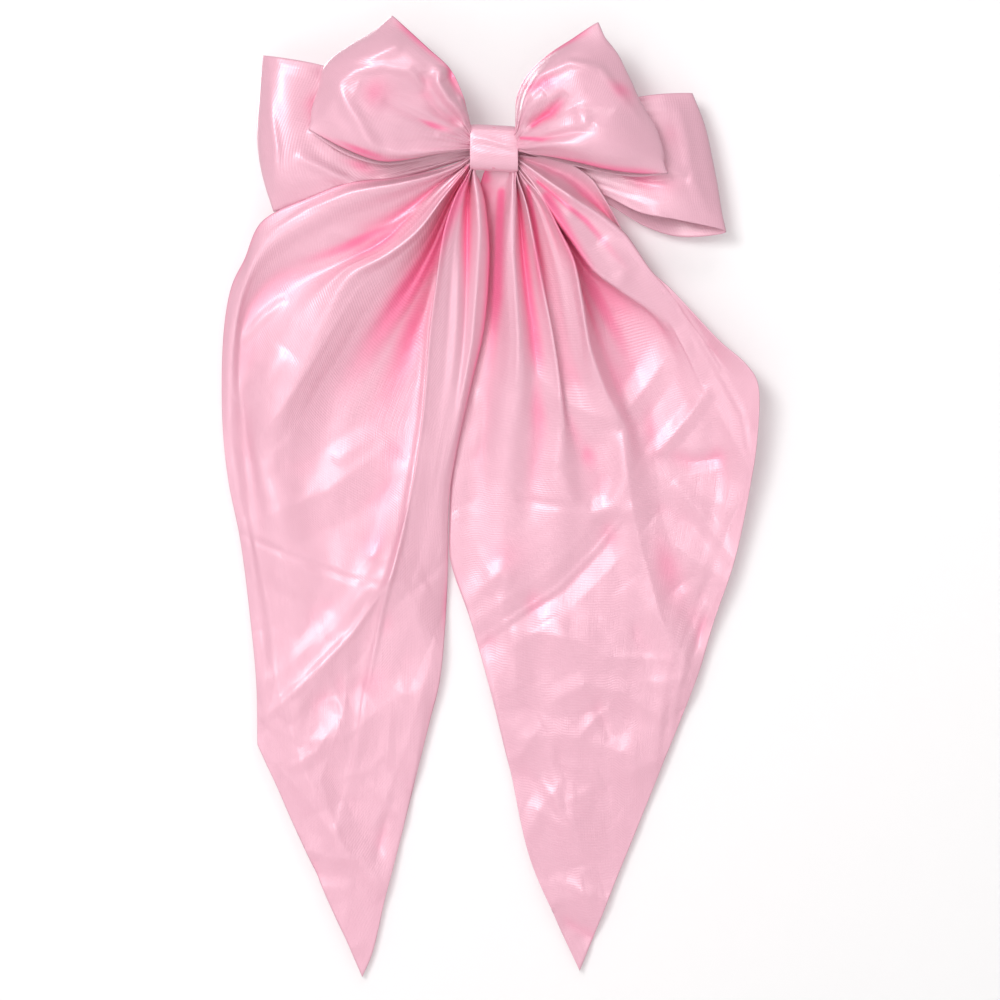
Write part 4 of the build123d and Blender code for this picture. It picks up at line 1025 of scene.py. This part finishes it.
# %% helpers for geometry trees
def geometry_tree(name, inputs):
    """An empty geometry tree with named inputs: (name, socket kind, default)."""
    tree = bpy.data.node_groups.new(name, "GeometryNodeTree")
    for label, kind, default in inputs:
        socket = tree.interface.new_socket(label, in_out="INPUT", socket_type=kind)
        if default is not None:
            socket.default_value = default
    tree.interface.new_socket("Geometry", in_out="OUTPUT", socket_type="NodeSocketGeometry")
    return tree, tree.nodes.new("NodeGroupInput"), tree.nodes.new("NodeGroupOutput")


def math(tree, operation, a, b=None):
    """The output of a maths node; a and b are sockets or numbers."""
    made = node(tree, "ShaderNodeMath", operation=operation)
    for socket, value in zip(made.inputs, (a, b)):
        if isinstance(value, bpy.types.NodeSocket):
            tree.links.new(value, socket)
        elif value is not None:
            socket.default_value = value
    return made.outputs[0]


def grown(name, tree, place, material, **values):
    """Runs a geometry tree with these input values, and returns its result as a plain mesh object."""
    carrier = bpy.data.objects.new(name + "_carrier", bpy.data.meshes.new(name + "_carrier"))
    bpy.context.collection.objects.link(carrier)
    modifier = carrier.modifiers.new("grow", "NODES")
    modifier.node_group = tree
    sockets = {s.name: s.identifier for s in tree.interface.items_tree if s.in_out == "INPUT"}
    modifier[sockets["Material"]] = material
    for label, value in values.items():
        modifier[sockets[label.replace("_", " ")]] = value
    bpy.context.view_layer.update()
    evaluated = carrier.evaluated_get(bpy.context.evaluated_depsgraph_get())
    mesh = bpy.data.meshes.new_from_object(evaluated)
    mesh.name = name
    mesh.transform(place)
    bpy.data.objects.remove(carrier)
    mesh.polygons.foreach_set("use_smooth", np.ones(len(mesh.polygons), dtype=bool))
    made = bpy.data.objects.new(name, mesh)
    bpy.context.collection.objects.link(made)
    print(f"{name}: {len(mesh.polygons)} faces")
    return made


# %% a tree that winds a thread round a flat waist
winding, wind_in, wind_out = geometry_tree(
    "thread winding",
    [("Turns", "NodeSocketFloat", 4.0), ("Pitch", "NodeSocketFloat", 0.0004),
     ("Half Depth", "NodeSocketFloat", 0.0013), ("Half Height", "NodeSocketFloat", 0.0085),
     ("Wire Radius", "NodeSocketFloat", 0.00022), ("Seed", "NodeSocketInt", 1),
     ("Material", "NodeSocketMaterial", None)],
)  # fmt: skip
spiral = node(winding, "GeometryNodeCurveSpiral")
spiral.inputs["Resolution"].default_value = 72
spiral.inputs["Start Radius"].default_value = spiral.inputs["End Radius"].default_value = 1.0
here = node(winding, "GeometryNodeInputPosition")
apart = node(winding, "ShaderNodeSeparateXYZ")
together = node(winding, "ShaderNodeCombineXYZ")
place = node(winding, "GeometryNodeSetPosition")
wobble = node(winding, "ShaderNodeTexNoise", noise_dimensions="4D")
wobble.inputs["Scale"].default_value = 900.0
wobble_size = node(winding, "ShaderNodeVectorMath", operation="MULTIPLY_ADD")
wobble_size.inputs[1].default_value = (0.0003, 0.0001, 0.0001)
wobble_size.inputs[2].default_value = (-0.00015, -0.00005, -0.00005)
shaken = node(winding, "GeometryNodeSetPosition")
profile = node(winding, "GeometryNodeCurvePrimitiveCircle")
profile.inputs["Resolution"].default_value = 8
sweep = node(winding, "GeometryNodeCurveToMesh")
sweep.inputs["Fill Caps"].default_value = True
real = node(winding, "GeometryNodeRealizeInstances")
paint = node(winding, "GeometryNodeSetMaterial")
winding.links.new(here.outputs[0], apart.inputs[0])


def flattened(axis, half):
    """A circle's coordinate pushed out to a flat-sided oval."""
    size = math(winding, "POWER", math(winding, "ABSOLUTE", axis), 0.5)
    return math(winding, "MULTIPLY", math(winding, "MULTIPLY", size, math(winding, "SIGN", axis)), half)


winding.links.new(apart.outputs["Z"], together.inputs["X"])
winding.links.new(flattened(apart.outputs["X"], wind_in.outputs["Half Depth"]), together.inputs["Y"])
winding.links.new(flattened(apart.outputs["Y"], wind_in.outputs["Half Height"]), together.inputs["Z"])
for a, b in (
    (wind_in.outputs["Turns"], spiral.inputs["Rotations"]),
    (math(winding, "MULTIPLY", wind_in.outputs["Turns"], wind_in.outputs["Pitch"]),
    spiral.inputs["Height"]),
    (spiral.outputs[0], place.inputs["Geometry"]),
    (together.outputs[0], place.inputs["Position"]),
    (place.outputs[0], shaken.inputs["Geometry"]),
    (here.outputs[0], wobble.inputs["Vector"]),
    (wind_in.outputs["Seed"], wobble.inputs["W"]),
    (wobble.outputs["Color"], wobble_size.inputs[0]),
    (wobble_size.outputs[0], shaken.inputs["Offset"]),
    (shaken.outputs[0], sweep.inputs["Curve"]),
    (wind_in.outputs["Wire Radius"], profile.inputs["Radius"]),
    (profile.outputs[0], sweep.inputs["Profile Curve"]),
    (sweep.outputs[0], real.inputs[0]),
    (real.outputs[0], paint.inputs["Geometry"]),
    (wind_in.outputs["Material"], paint.inputs["Material"]),
    (paint.outputs[0], wind_out.inputs[0]),
):
    winding.links.new(a, b)


# %% a worn material, and thread
def worn_material(name, colours, rough_from, rough_to, wear_size, bump_strength, bump_depth, **values):
    """A material whose colour and roughness go from new to worn, and the nodes that its bump needs."""
    material = bpy.data.materials.new(name)
    material.use_nodes = True
    tree = material.node_tree
    shader = tree.nodes["Principled BSDF"]
    for label, value in values.items():
        shader.inputs[label.replace("_", " ")].default_value = value
    worn = node(tree, "ShaderNodeGroup", node_tree=wear)
    worn.inputs["Size"].default_value = wear_size
    colour = ramp(tree, list(enumerate(colours)))
    rough = node(tree, "ShaderNodeMapRange", To_Min=rough_from, To_Max=rough_to)
    bump = node(tree, "ShaderNodeBump", Strength=bump_strength, Distance=bump_depth)
    for a, b in (
        (worn.outputs["Mask"], colour.inputs[0]),
        (colour.outputs[0], shader.inputs["Base Color"]),
        (worn.outputs["Mask"], rough.inputs[0]),
        (rough.outputs[0], shader.inputs["Roughness"]),
        (bump.outputs[0], shader.inputs["Normal"]),
    ):
        tree.links.new(a, b)
    return material, tree, worn, bump


def thread_material():
    """Pink thread, with the diagonal lines of its ply as bump."""
    material, tree, _, bump = worn_material(
        "pink thread", [(0.80, 0.30, 0.42), (0.66, 0.20, 0.31)], 0.45, 0.7, 2500.0, 0.5, 0.00008,
        Sheen_Weight=0.4)  # fmt: skip
    place = node(tree, "ShaderNodeTexCoord")
    ply = node(tree, "ShaderNodeTexWave", bands_direction="DIAGONAL")
    ply.inputs["Scale"].default_value = 1400.0
    tree.links.new(place.outputs["Object"], ply.inputs["Vector"])
    tree.links.new(ply.outputs["Fac"], bump.inputs["Height"])
    return material


thread = thread_material()

# %% the three windings
THREAD_RADIUS = 0.22 * MM
thread_pieces = {}
for seed, name in enumerate(("front_gather_thread", "tail_gather_thread", "back_gather_thread"), start=1):
    low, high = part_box(name)
    middle = (low + high) / 2
    turns = 4
    pitch = (high.x - low.x - 2 * THREAD_RADIUS) / turns
    start = Matrix.Translation((low.x + THREAD_RADIUS, middle.y, middle.z))
    thread_pieces[name] = grown(
        name.replace("gather_thread", "winding"), winding, start, thread, Turns=float(turns), Pitch=pitch,
        Half_Depth=(high.y - low.y) / 2 - THREAD_RADIUS, Half_Height=(high.z - low.z) / 2 - THREAD_RADIUS,
        Wire_Radius=THREAD_RADIUS, Seed=seed)  # fmt: skip

# %% a tree that repeats one stitch along a seam
sewing, sew_in, sew_out = geometry_tree(
    "whip stitches",
    [("Count", "NodeSocketInt", 6), ("Pitch", "NodeSocketFloat", 0.0026),
     ("Length", "NodeSocketFloat", 0.0024), ("Slant", "NodeSocketFloat", 0.35),
     ("Wire Radius", "NodeSocketFloat", 0.00022), ("Seed", "NodeSocketInt", 3),
     ("Material", "NodeSocketMaterial", None)],
)  # fmt: skip
row = node(sewing, "GeometryNodeMeshLine")
step = node(sewing, "ShaderNodeCombineXYZ")
arc = node(sewing, "GeometryNodeCurveQuadraticBezier")
arc.inputs["Resolution"].default_value = 10
first, top, last = (node(sewing, "ShaderNodeCombineXYZ") for _ in range(3))
half_length = math(sewing, "MULTIPLY", sew_in.outputs["Length"], 0.5)
sewing.links.new(math(sewing, "MULTIPLY", half_length, -1.0), first.inputs["Z"])
sewing.links.new(math(sewing, "MULTIPLY", sew_in.outputs["Length"], 0.22), top.inputs["Y"])
sewing.links.new(half_length, last.inputs["Z"])
round_wire = node(sewing, "GeometryNodeCurvePrimitiveCircle")
round_wire.inputs["Resolution"].default_value = 8
body = node(sewing, "GeometryNodeCurveToMesh")
body.inputs["Fill Caps"].default_value = True
repeat = node(sewing, "GeometryNodeInstanceOnPoints")
chance = node(sewing, "FunctionNodeRandomValue")
chance.inputs[2].default_value, chance.inputs[3].default_value = -0.12, 0.12
lean = node(sewing, "ShaderNodeCombineXYZ")
real = node(sewing, "GeometryNodeRealizeInstances")
paint = node(sewing, "GeometryNodeSetMaterial")
sewing.links.new(sew_in.outputs["Pitch"], step.inputs["X"])
sewing.links.new(math(sewing, "ADD", sew_in.outputs["Slant"], chance.outputs[1]), lean.inputs["Y"])
for a, b in (
    (sew_in.outputs["Count"], row.inputs["Count"]),
    (step.outputs[0], row.inputs["Offset"]),
    (first.outputs[0], arc.inputs["Start"]),
    (top.outputs[0], arc.inputs["Middle"]),
    (last.outputs[0], arc.inputs["End"]),
    (arc.outputs[0], body.inputs["Curve"]),
    (sew_in.outputs["Wire Radius"], round_wire.inputs["Radius"]),
    (round_wire.outputs[0], body.inputs["Profile Curve"]),
    (sew_in.outputs["Seed"], chance.inputs["Seed"]),
    (row.outputs[0], repeat.inputs["Points"]),
    (body.outputs[0], repeat.inputs["Instance"]),
    (lean.outputs[0], repeat.inputs["Rotation"]),
    (repeat.outputs[0], real.inputs[0]),
    (real.outputs[0], paint.inputs["Geometry"]),
    (sew_in.outputs["Material"], paint.inputs["Material"]),
    (paint.outputs[0], sew_out.inputs[0]),
):
    sewing.links.new(a, b)

# %% the seam's stitches
seam_low, seam_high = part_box("band_seam_stitches")
STITCHES = 6
stitch_pitch = (seam_high.x - seam_low.x - 1.3 * MM) / (STITCHES - 1)
seam_start = Matrix.Translation((seam_low.x + 0.65 * MM, BAND_BACK_Y * MM, 0))
stitches = grown(
    "seam_stitches", sewing, seam_start, thread, Count=STITCHES, Pitch=stitch_pitch,
    Length=seam_high.z - seam_low.z, Slant=0.35, Wire_Radius=THREAD_RADIUS, Seed=3)  # fmt: skip


# %% [markdown]
# ## The clip
# The jaws, the pin and the glue keep their CAD shapes, with finishes made here: bright nickel with
# faint cloudy wear, and milky glue. The real spring bends as the jaw opens; here it is drawn again as
# one wire whose coil turns between the two jaws.

# %% nickel, spring steel and glue
def metal_material(name, bright, dull, low, high, grain):
    """Plated steel: bright metal that is duller and rougher where it has worn."""
    material, tree, worn, bump = worn_material(
        name, [bright, dull], low, high, 260.0, grain, 0.00002, Metallic=1.0, Anisotropic=0.25)  # fmt: skip
    worn.inputs["Strength"].default_value = 0.7
    tree.links.new(worn.outputs["Scratches"], bump.inputs["Height"])
    return material


def glue_material():
    """Milky hot-melt glue."""
    material, tree, worn, bump = worn_material(
        "hot glue", [(0.86, 0.84, 0.76), (0.76, 0.72, 0.60)], 0.28, 0.5, 500.0, 0.4, 0.0002,
        Subsurface_Weight=0.4, Subsurface_Scale=0.002)  # fmt: skip
    tree.links.new(worn.outputs["Mask"], bump.inputs["Height"])
    return material


nickel = metal_material("nickel plate", (0.74, 0.72, 0.69), (0.58, 0.56, 0.53), 0.16, 0.34, 0.15)
pin_steel = metal_material("pin steel", (0.68, 0.67, 0.65), (0.50, 0.49, 0.47), 0.22, 0.4, 0.2)
spring_steel = metal_material("spring steel", (0.52, 0.52, 0.52), (0.36, 0.35, 0.34), 0.3, 0.5, 0.25)
glue = glue_material()
for name, material in (
    ("outer_jaw", nickel),
    ("inner_jaw", nickel),
    ("hinge_pin", pin_steel),
    ("glue_pad", glue),
):
    cad_mesh = frame["nodes"][name].data
    cad_mesh.materials.clear()
    cad_mesh.materials.append(material)

# %% torsion spring
hinge = np.array(frame["joints"][0]["pos_m"]) / MM
spring_low, spring_high = (np.array(corner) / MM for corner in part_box("torsion_spring"))
SPRING_WIRE = 0.35  # mm, radius
COIL_PITCH = 0.85
coil_radius = hinge[0] - spring_low[0] - SPRING_WIRE
leg_end = spring_high[0]


def leg_direction(seat_y, side):
    """Angle of the leg that leaves the coil as a tangent and ends at this height over the tab."""
    dx, dy = leg_end - hinge[0], seat_y - hinge[1]
    return np.arctan2(dy, dx) - side * np.arcsin(coil_radius / np.hypot(dx, dy))


lever_leg = leg_direction(spring_high[1] - SPRING_WIRE, 1)
outer_leg = leg_direction(spring_low[1] + SPRING_WIRE, -1)
turn = np.linspace(pi / 2 + lever_leg, 10 * pi - pi / 2 + outer_leg, 190)
rise = (turn - turn.mean()) * COIL_PITCH / (2 * pi)
wire = np.stack([hinge[0] + coil_radius * np.cos(turn), hinge[1] + coil_radius * np.sin(turn), rise], 1)
for end, before in ((0, 1), (-1, -2)):
    way = wire[end] - wire[before]
    tip = wire[end] + way * (leg_end - wire[end][0]) / way[0]
    wire = np.vstack([tip, wire]) if end == 0 else np.vstack([wire, tip])
curve = bpy.data.curves.new("spring_wire", "CURVE")
curve.dimensions = "3D"
curve.bevel_depth, curve.bevel_resolution, curve.use_fill_caps = SPRING_WIRE * MM, 4, True
line = curve.splines.new("POLY")
line.points.add(len(wire) - 1)
line.points.foreach_set("co", np.hstack([wire * MM, np.ones((len(wire), 1))]).ravel())
carrier = bpy.data.objects.new("spring_wire", curve)
bpy.context.collection.objects.link(carrier)
bpy.context.view_layer.update()
mesh = bpy.data.meshes.new_from_object(carrier.evaluated_get(bpy.context.evaluated_depsgraph_get()))
bpy.data.objects.remove(carrier)
mesh.materials.append(spring_steel)
mesh.polygons.foreach_set("use_smooth", np.ones(len(mesh.polygons), dtype=bool))
spring = bpy.data.objects.new("spring", mesh)
bpy.context.collection.objects.link(spring)
print(f"spring: {len(mesh.polygons)} faces, coil radius {coil_radius:.2f} mm")


# %% [markdown]
# ## What moves with what
# Everything but the inner jaw belongs to the bow. On the real clip the spring follows the inner jaw at
# one end of its coil and the bow at the other; here it is one rigid mesh.
#
# The flat sizes of the tails and loops below were not measured and are too small, so no cloth should be
# cut to them. Measured over their surface, the modelled strips are about 147 x 351 mm (left tail), 159
# x 350 mm (right tail), 67 x 307 mm (front loops), 62 x 392 mm (back loops) and 41 x 60 mm (band). The
# loops' sizes were lowered until their area check passed. With the measured ones it fails, because the
# modelled gathers hold too little cloth.

# %% bodies and replaced CAD nodes
for piece, node_name, slot_name in (
    (left_tail, "tail_ribbon", "pink_satin"),
    (right_tail, "tail_ribbon", "pink_satin"),
    (front_loops, "front_loop_ribbon", "pink_satin"),
    (back_loops, "back_loop_ribbon", "pink_satin"),
    (band, "centre_band", "pink_satin"),
    (stitches, "band_seam_stitches", "pink_thread"),
    *((piece, name, "pink_thread") for name, piece in thread_pieces.items()),
):
    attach(piece, "bow")
    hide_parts(node_name)
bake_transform(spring)  # fmt: skip
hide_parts("torsion_spring")


# %% [markdown]
# ## Backdrop, light and camera
# The bow lies against a plain white backdrop, seen straight on. A soft light from the upper left draws
# the highlights and the short shadows; a bright room fills the rest. The backdrop shows only its
# front, so that the clip can be seen from behind.

# %% backdrop and floor
def plane(name, centre, size_x, size_other, upright):
    """A flat rectangle, upright and facing the front, or lying flat."""
    mesh = bpy.data.meshes.new(name)
    x, s = size_x / 2, size_other / 2
    corners = [(-x, -s), (x, -s), (x, s), (-x, s)]
    corners = [(a, 0, b) if upright else (a, b, 0) for a, b in corners]
    mesh.from_pydata([tuple(Vector(c) + Vector(centre)) for c in corners], [], [(0, 1, 2, 3)])
    made = bpy.data.objects.new(name, mesh)
    bpy.context.collection.objects.link(made)
    made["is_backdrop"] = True
    return made


def backdrop_material():
    material = bpy.data.materials.new("backdrop")
    material.use_nodes = True
    tree = material.node_tree
    shader = tree.nodes["Principled BSDF"]
    shader.inputs["Base Color"].default_value = (0.86, 0.855, 0.855, 1)
    shader.inputs["Emission Color"].default_value = (1, 1, 1, 1)
    shader.inputs["Emission Strength"].default_value = 0.05
    shader.inputs["Roughness"].default_value = 0.9
    shader.inputs["Specular IOR Level"].default_value = 0.1
    clear = node(tree, "ShaderNodeBsdfTransparent")
    side = node(tree, "ShaderNodeNewGeometry")
    mix = node(tree, "ShaderNodeMixShader")
    tree.links.new(side.outputs["Backfacing"], mix.inputs[0])
    tree.links.new(shader.outputs[0], mix.inputs[1])
    tree.links.new(clear.outputs[0], mix.inputs[2])
    tree.links.new(mix.outputs[0], tree.nodes["Material Output"].inputs["Surface"])
    return material


back_y = cad_box[1].y + 0.0006
floor_z = cad_box[0].z - 0.012
backdrop = plane("backdrop", (0, back_y, -0.145), 2.6, 2.6, upright=True)
backdrop.visible_diffuse = backdrop.visible_glossy = backdrop.visible_shadow = False
floor = plane("floor", (0, 0, floor_z), 16, 16, upright=False)
for made in (backdrop, floor):
    made.data.materials.append(backdrop_material())

# %% lights
def area_light(name, place, target, size, power, colour=(1, 1, 1), size_y=None):
    light = bpy.data.lights.new(name, "AREA")
    light.energy, light.color, light.size = power, colour, size
    if size_y:
        light.shape, light.size_y = "RECTANGLE", size_y
    lamp = bpy.data.objects.new(name, light)
    lamp.location = place
    lamp.visible_camera = False
    lamp.rotation_euler = (Vector(target) - Vector(place)).to_track_quat("-Z", "Y").to_euler()
    bpy.context.collection.objects.link(lamp)
    return lamp


AIM = (0, 0, -0.14)
area_light("key", (-0.8, -1.75, 0.66), AIM, 0.65, 17)
area_light("front", (-0.35, -1.9, 0.25), AIM, 0.45, 5)
area_light("top", (0.1, -0.9, 1.1), AIM, 0.9, 2.5, size_y=0.3)
area_light("behind", (-0.9, 1.9, 0.55), AIM, 0.9, 14)
world = bpy.data.worlds.new("room")
world.use_nodes = True
room = world.node_tree
room_light = room.nodes["Background"]
room_light.inputs["Color"].default_value = (1.0, 0.985, 0.985, 1)
room_light.inputs["Strength"].default_value = 0.52
room_seen = node(room, "ShaderNodeBackground")
room_seen.inputs["Color"].default_value = (0.50, 0.495, 0.495, 1)
ray = node(room, "ShaderNodeLightPath")
either = node(room, "ShaderNodeMixShader")
room.links.new(ray.outputs["Is Camera Ray"], either.inputs[0])
room.links.new(room_light.outputs[0], either.inputs[1])
room.links.new(room_seen.outputs[0], either.inputs[2])
room.links.new(either.outputs[0], room.nodes["World Output"].inputs["Surface"])
bpy.context.scene.world = world
bpy.context.scene.view_settings.view_transform = "Standard"

# %% camera
CAMERA_AWAY = 4.0
FIELD = 0.4145  # m, width of view at the cloth
camera_data = bpy.data.cameras.new("camera")
camera_data.sensor_width = 36
camera_data.lens = 36 * CAMERA_AWAY / FIELD
camera = bpy.data.objects.new("camera", camera_data)
camera.location = (0.0025, -CAMERA_AWAY, -0.1455)
camera.rotation_euler = (pi / 2, 0, 0)
bpy.context.collection.objects.link(camera)
bpy.context.scene.camera = camera

visual_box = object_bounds()
for axis, c0, c1, v0, v1 in zip("XYZ", *cad_box, *visual_box):
    print(f"{axis}: CAD {c0 / MM:.1f} to {c1 / MM:.1f} mm, visual {v0 / MM:.1f} to {v1 / MM:.1f} mm")
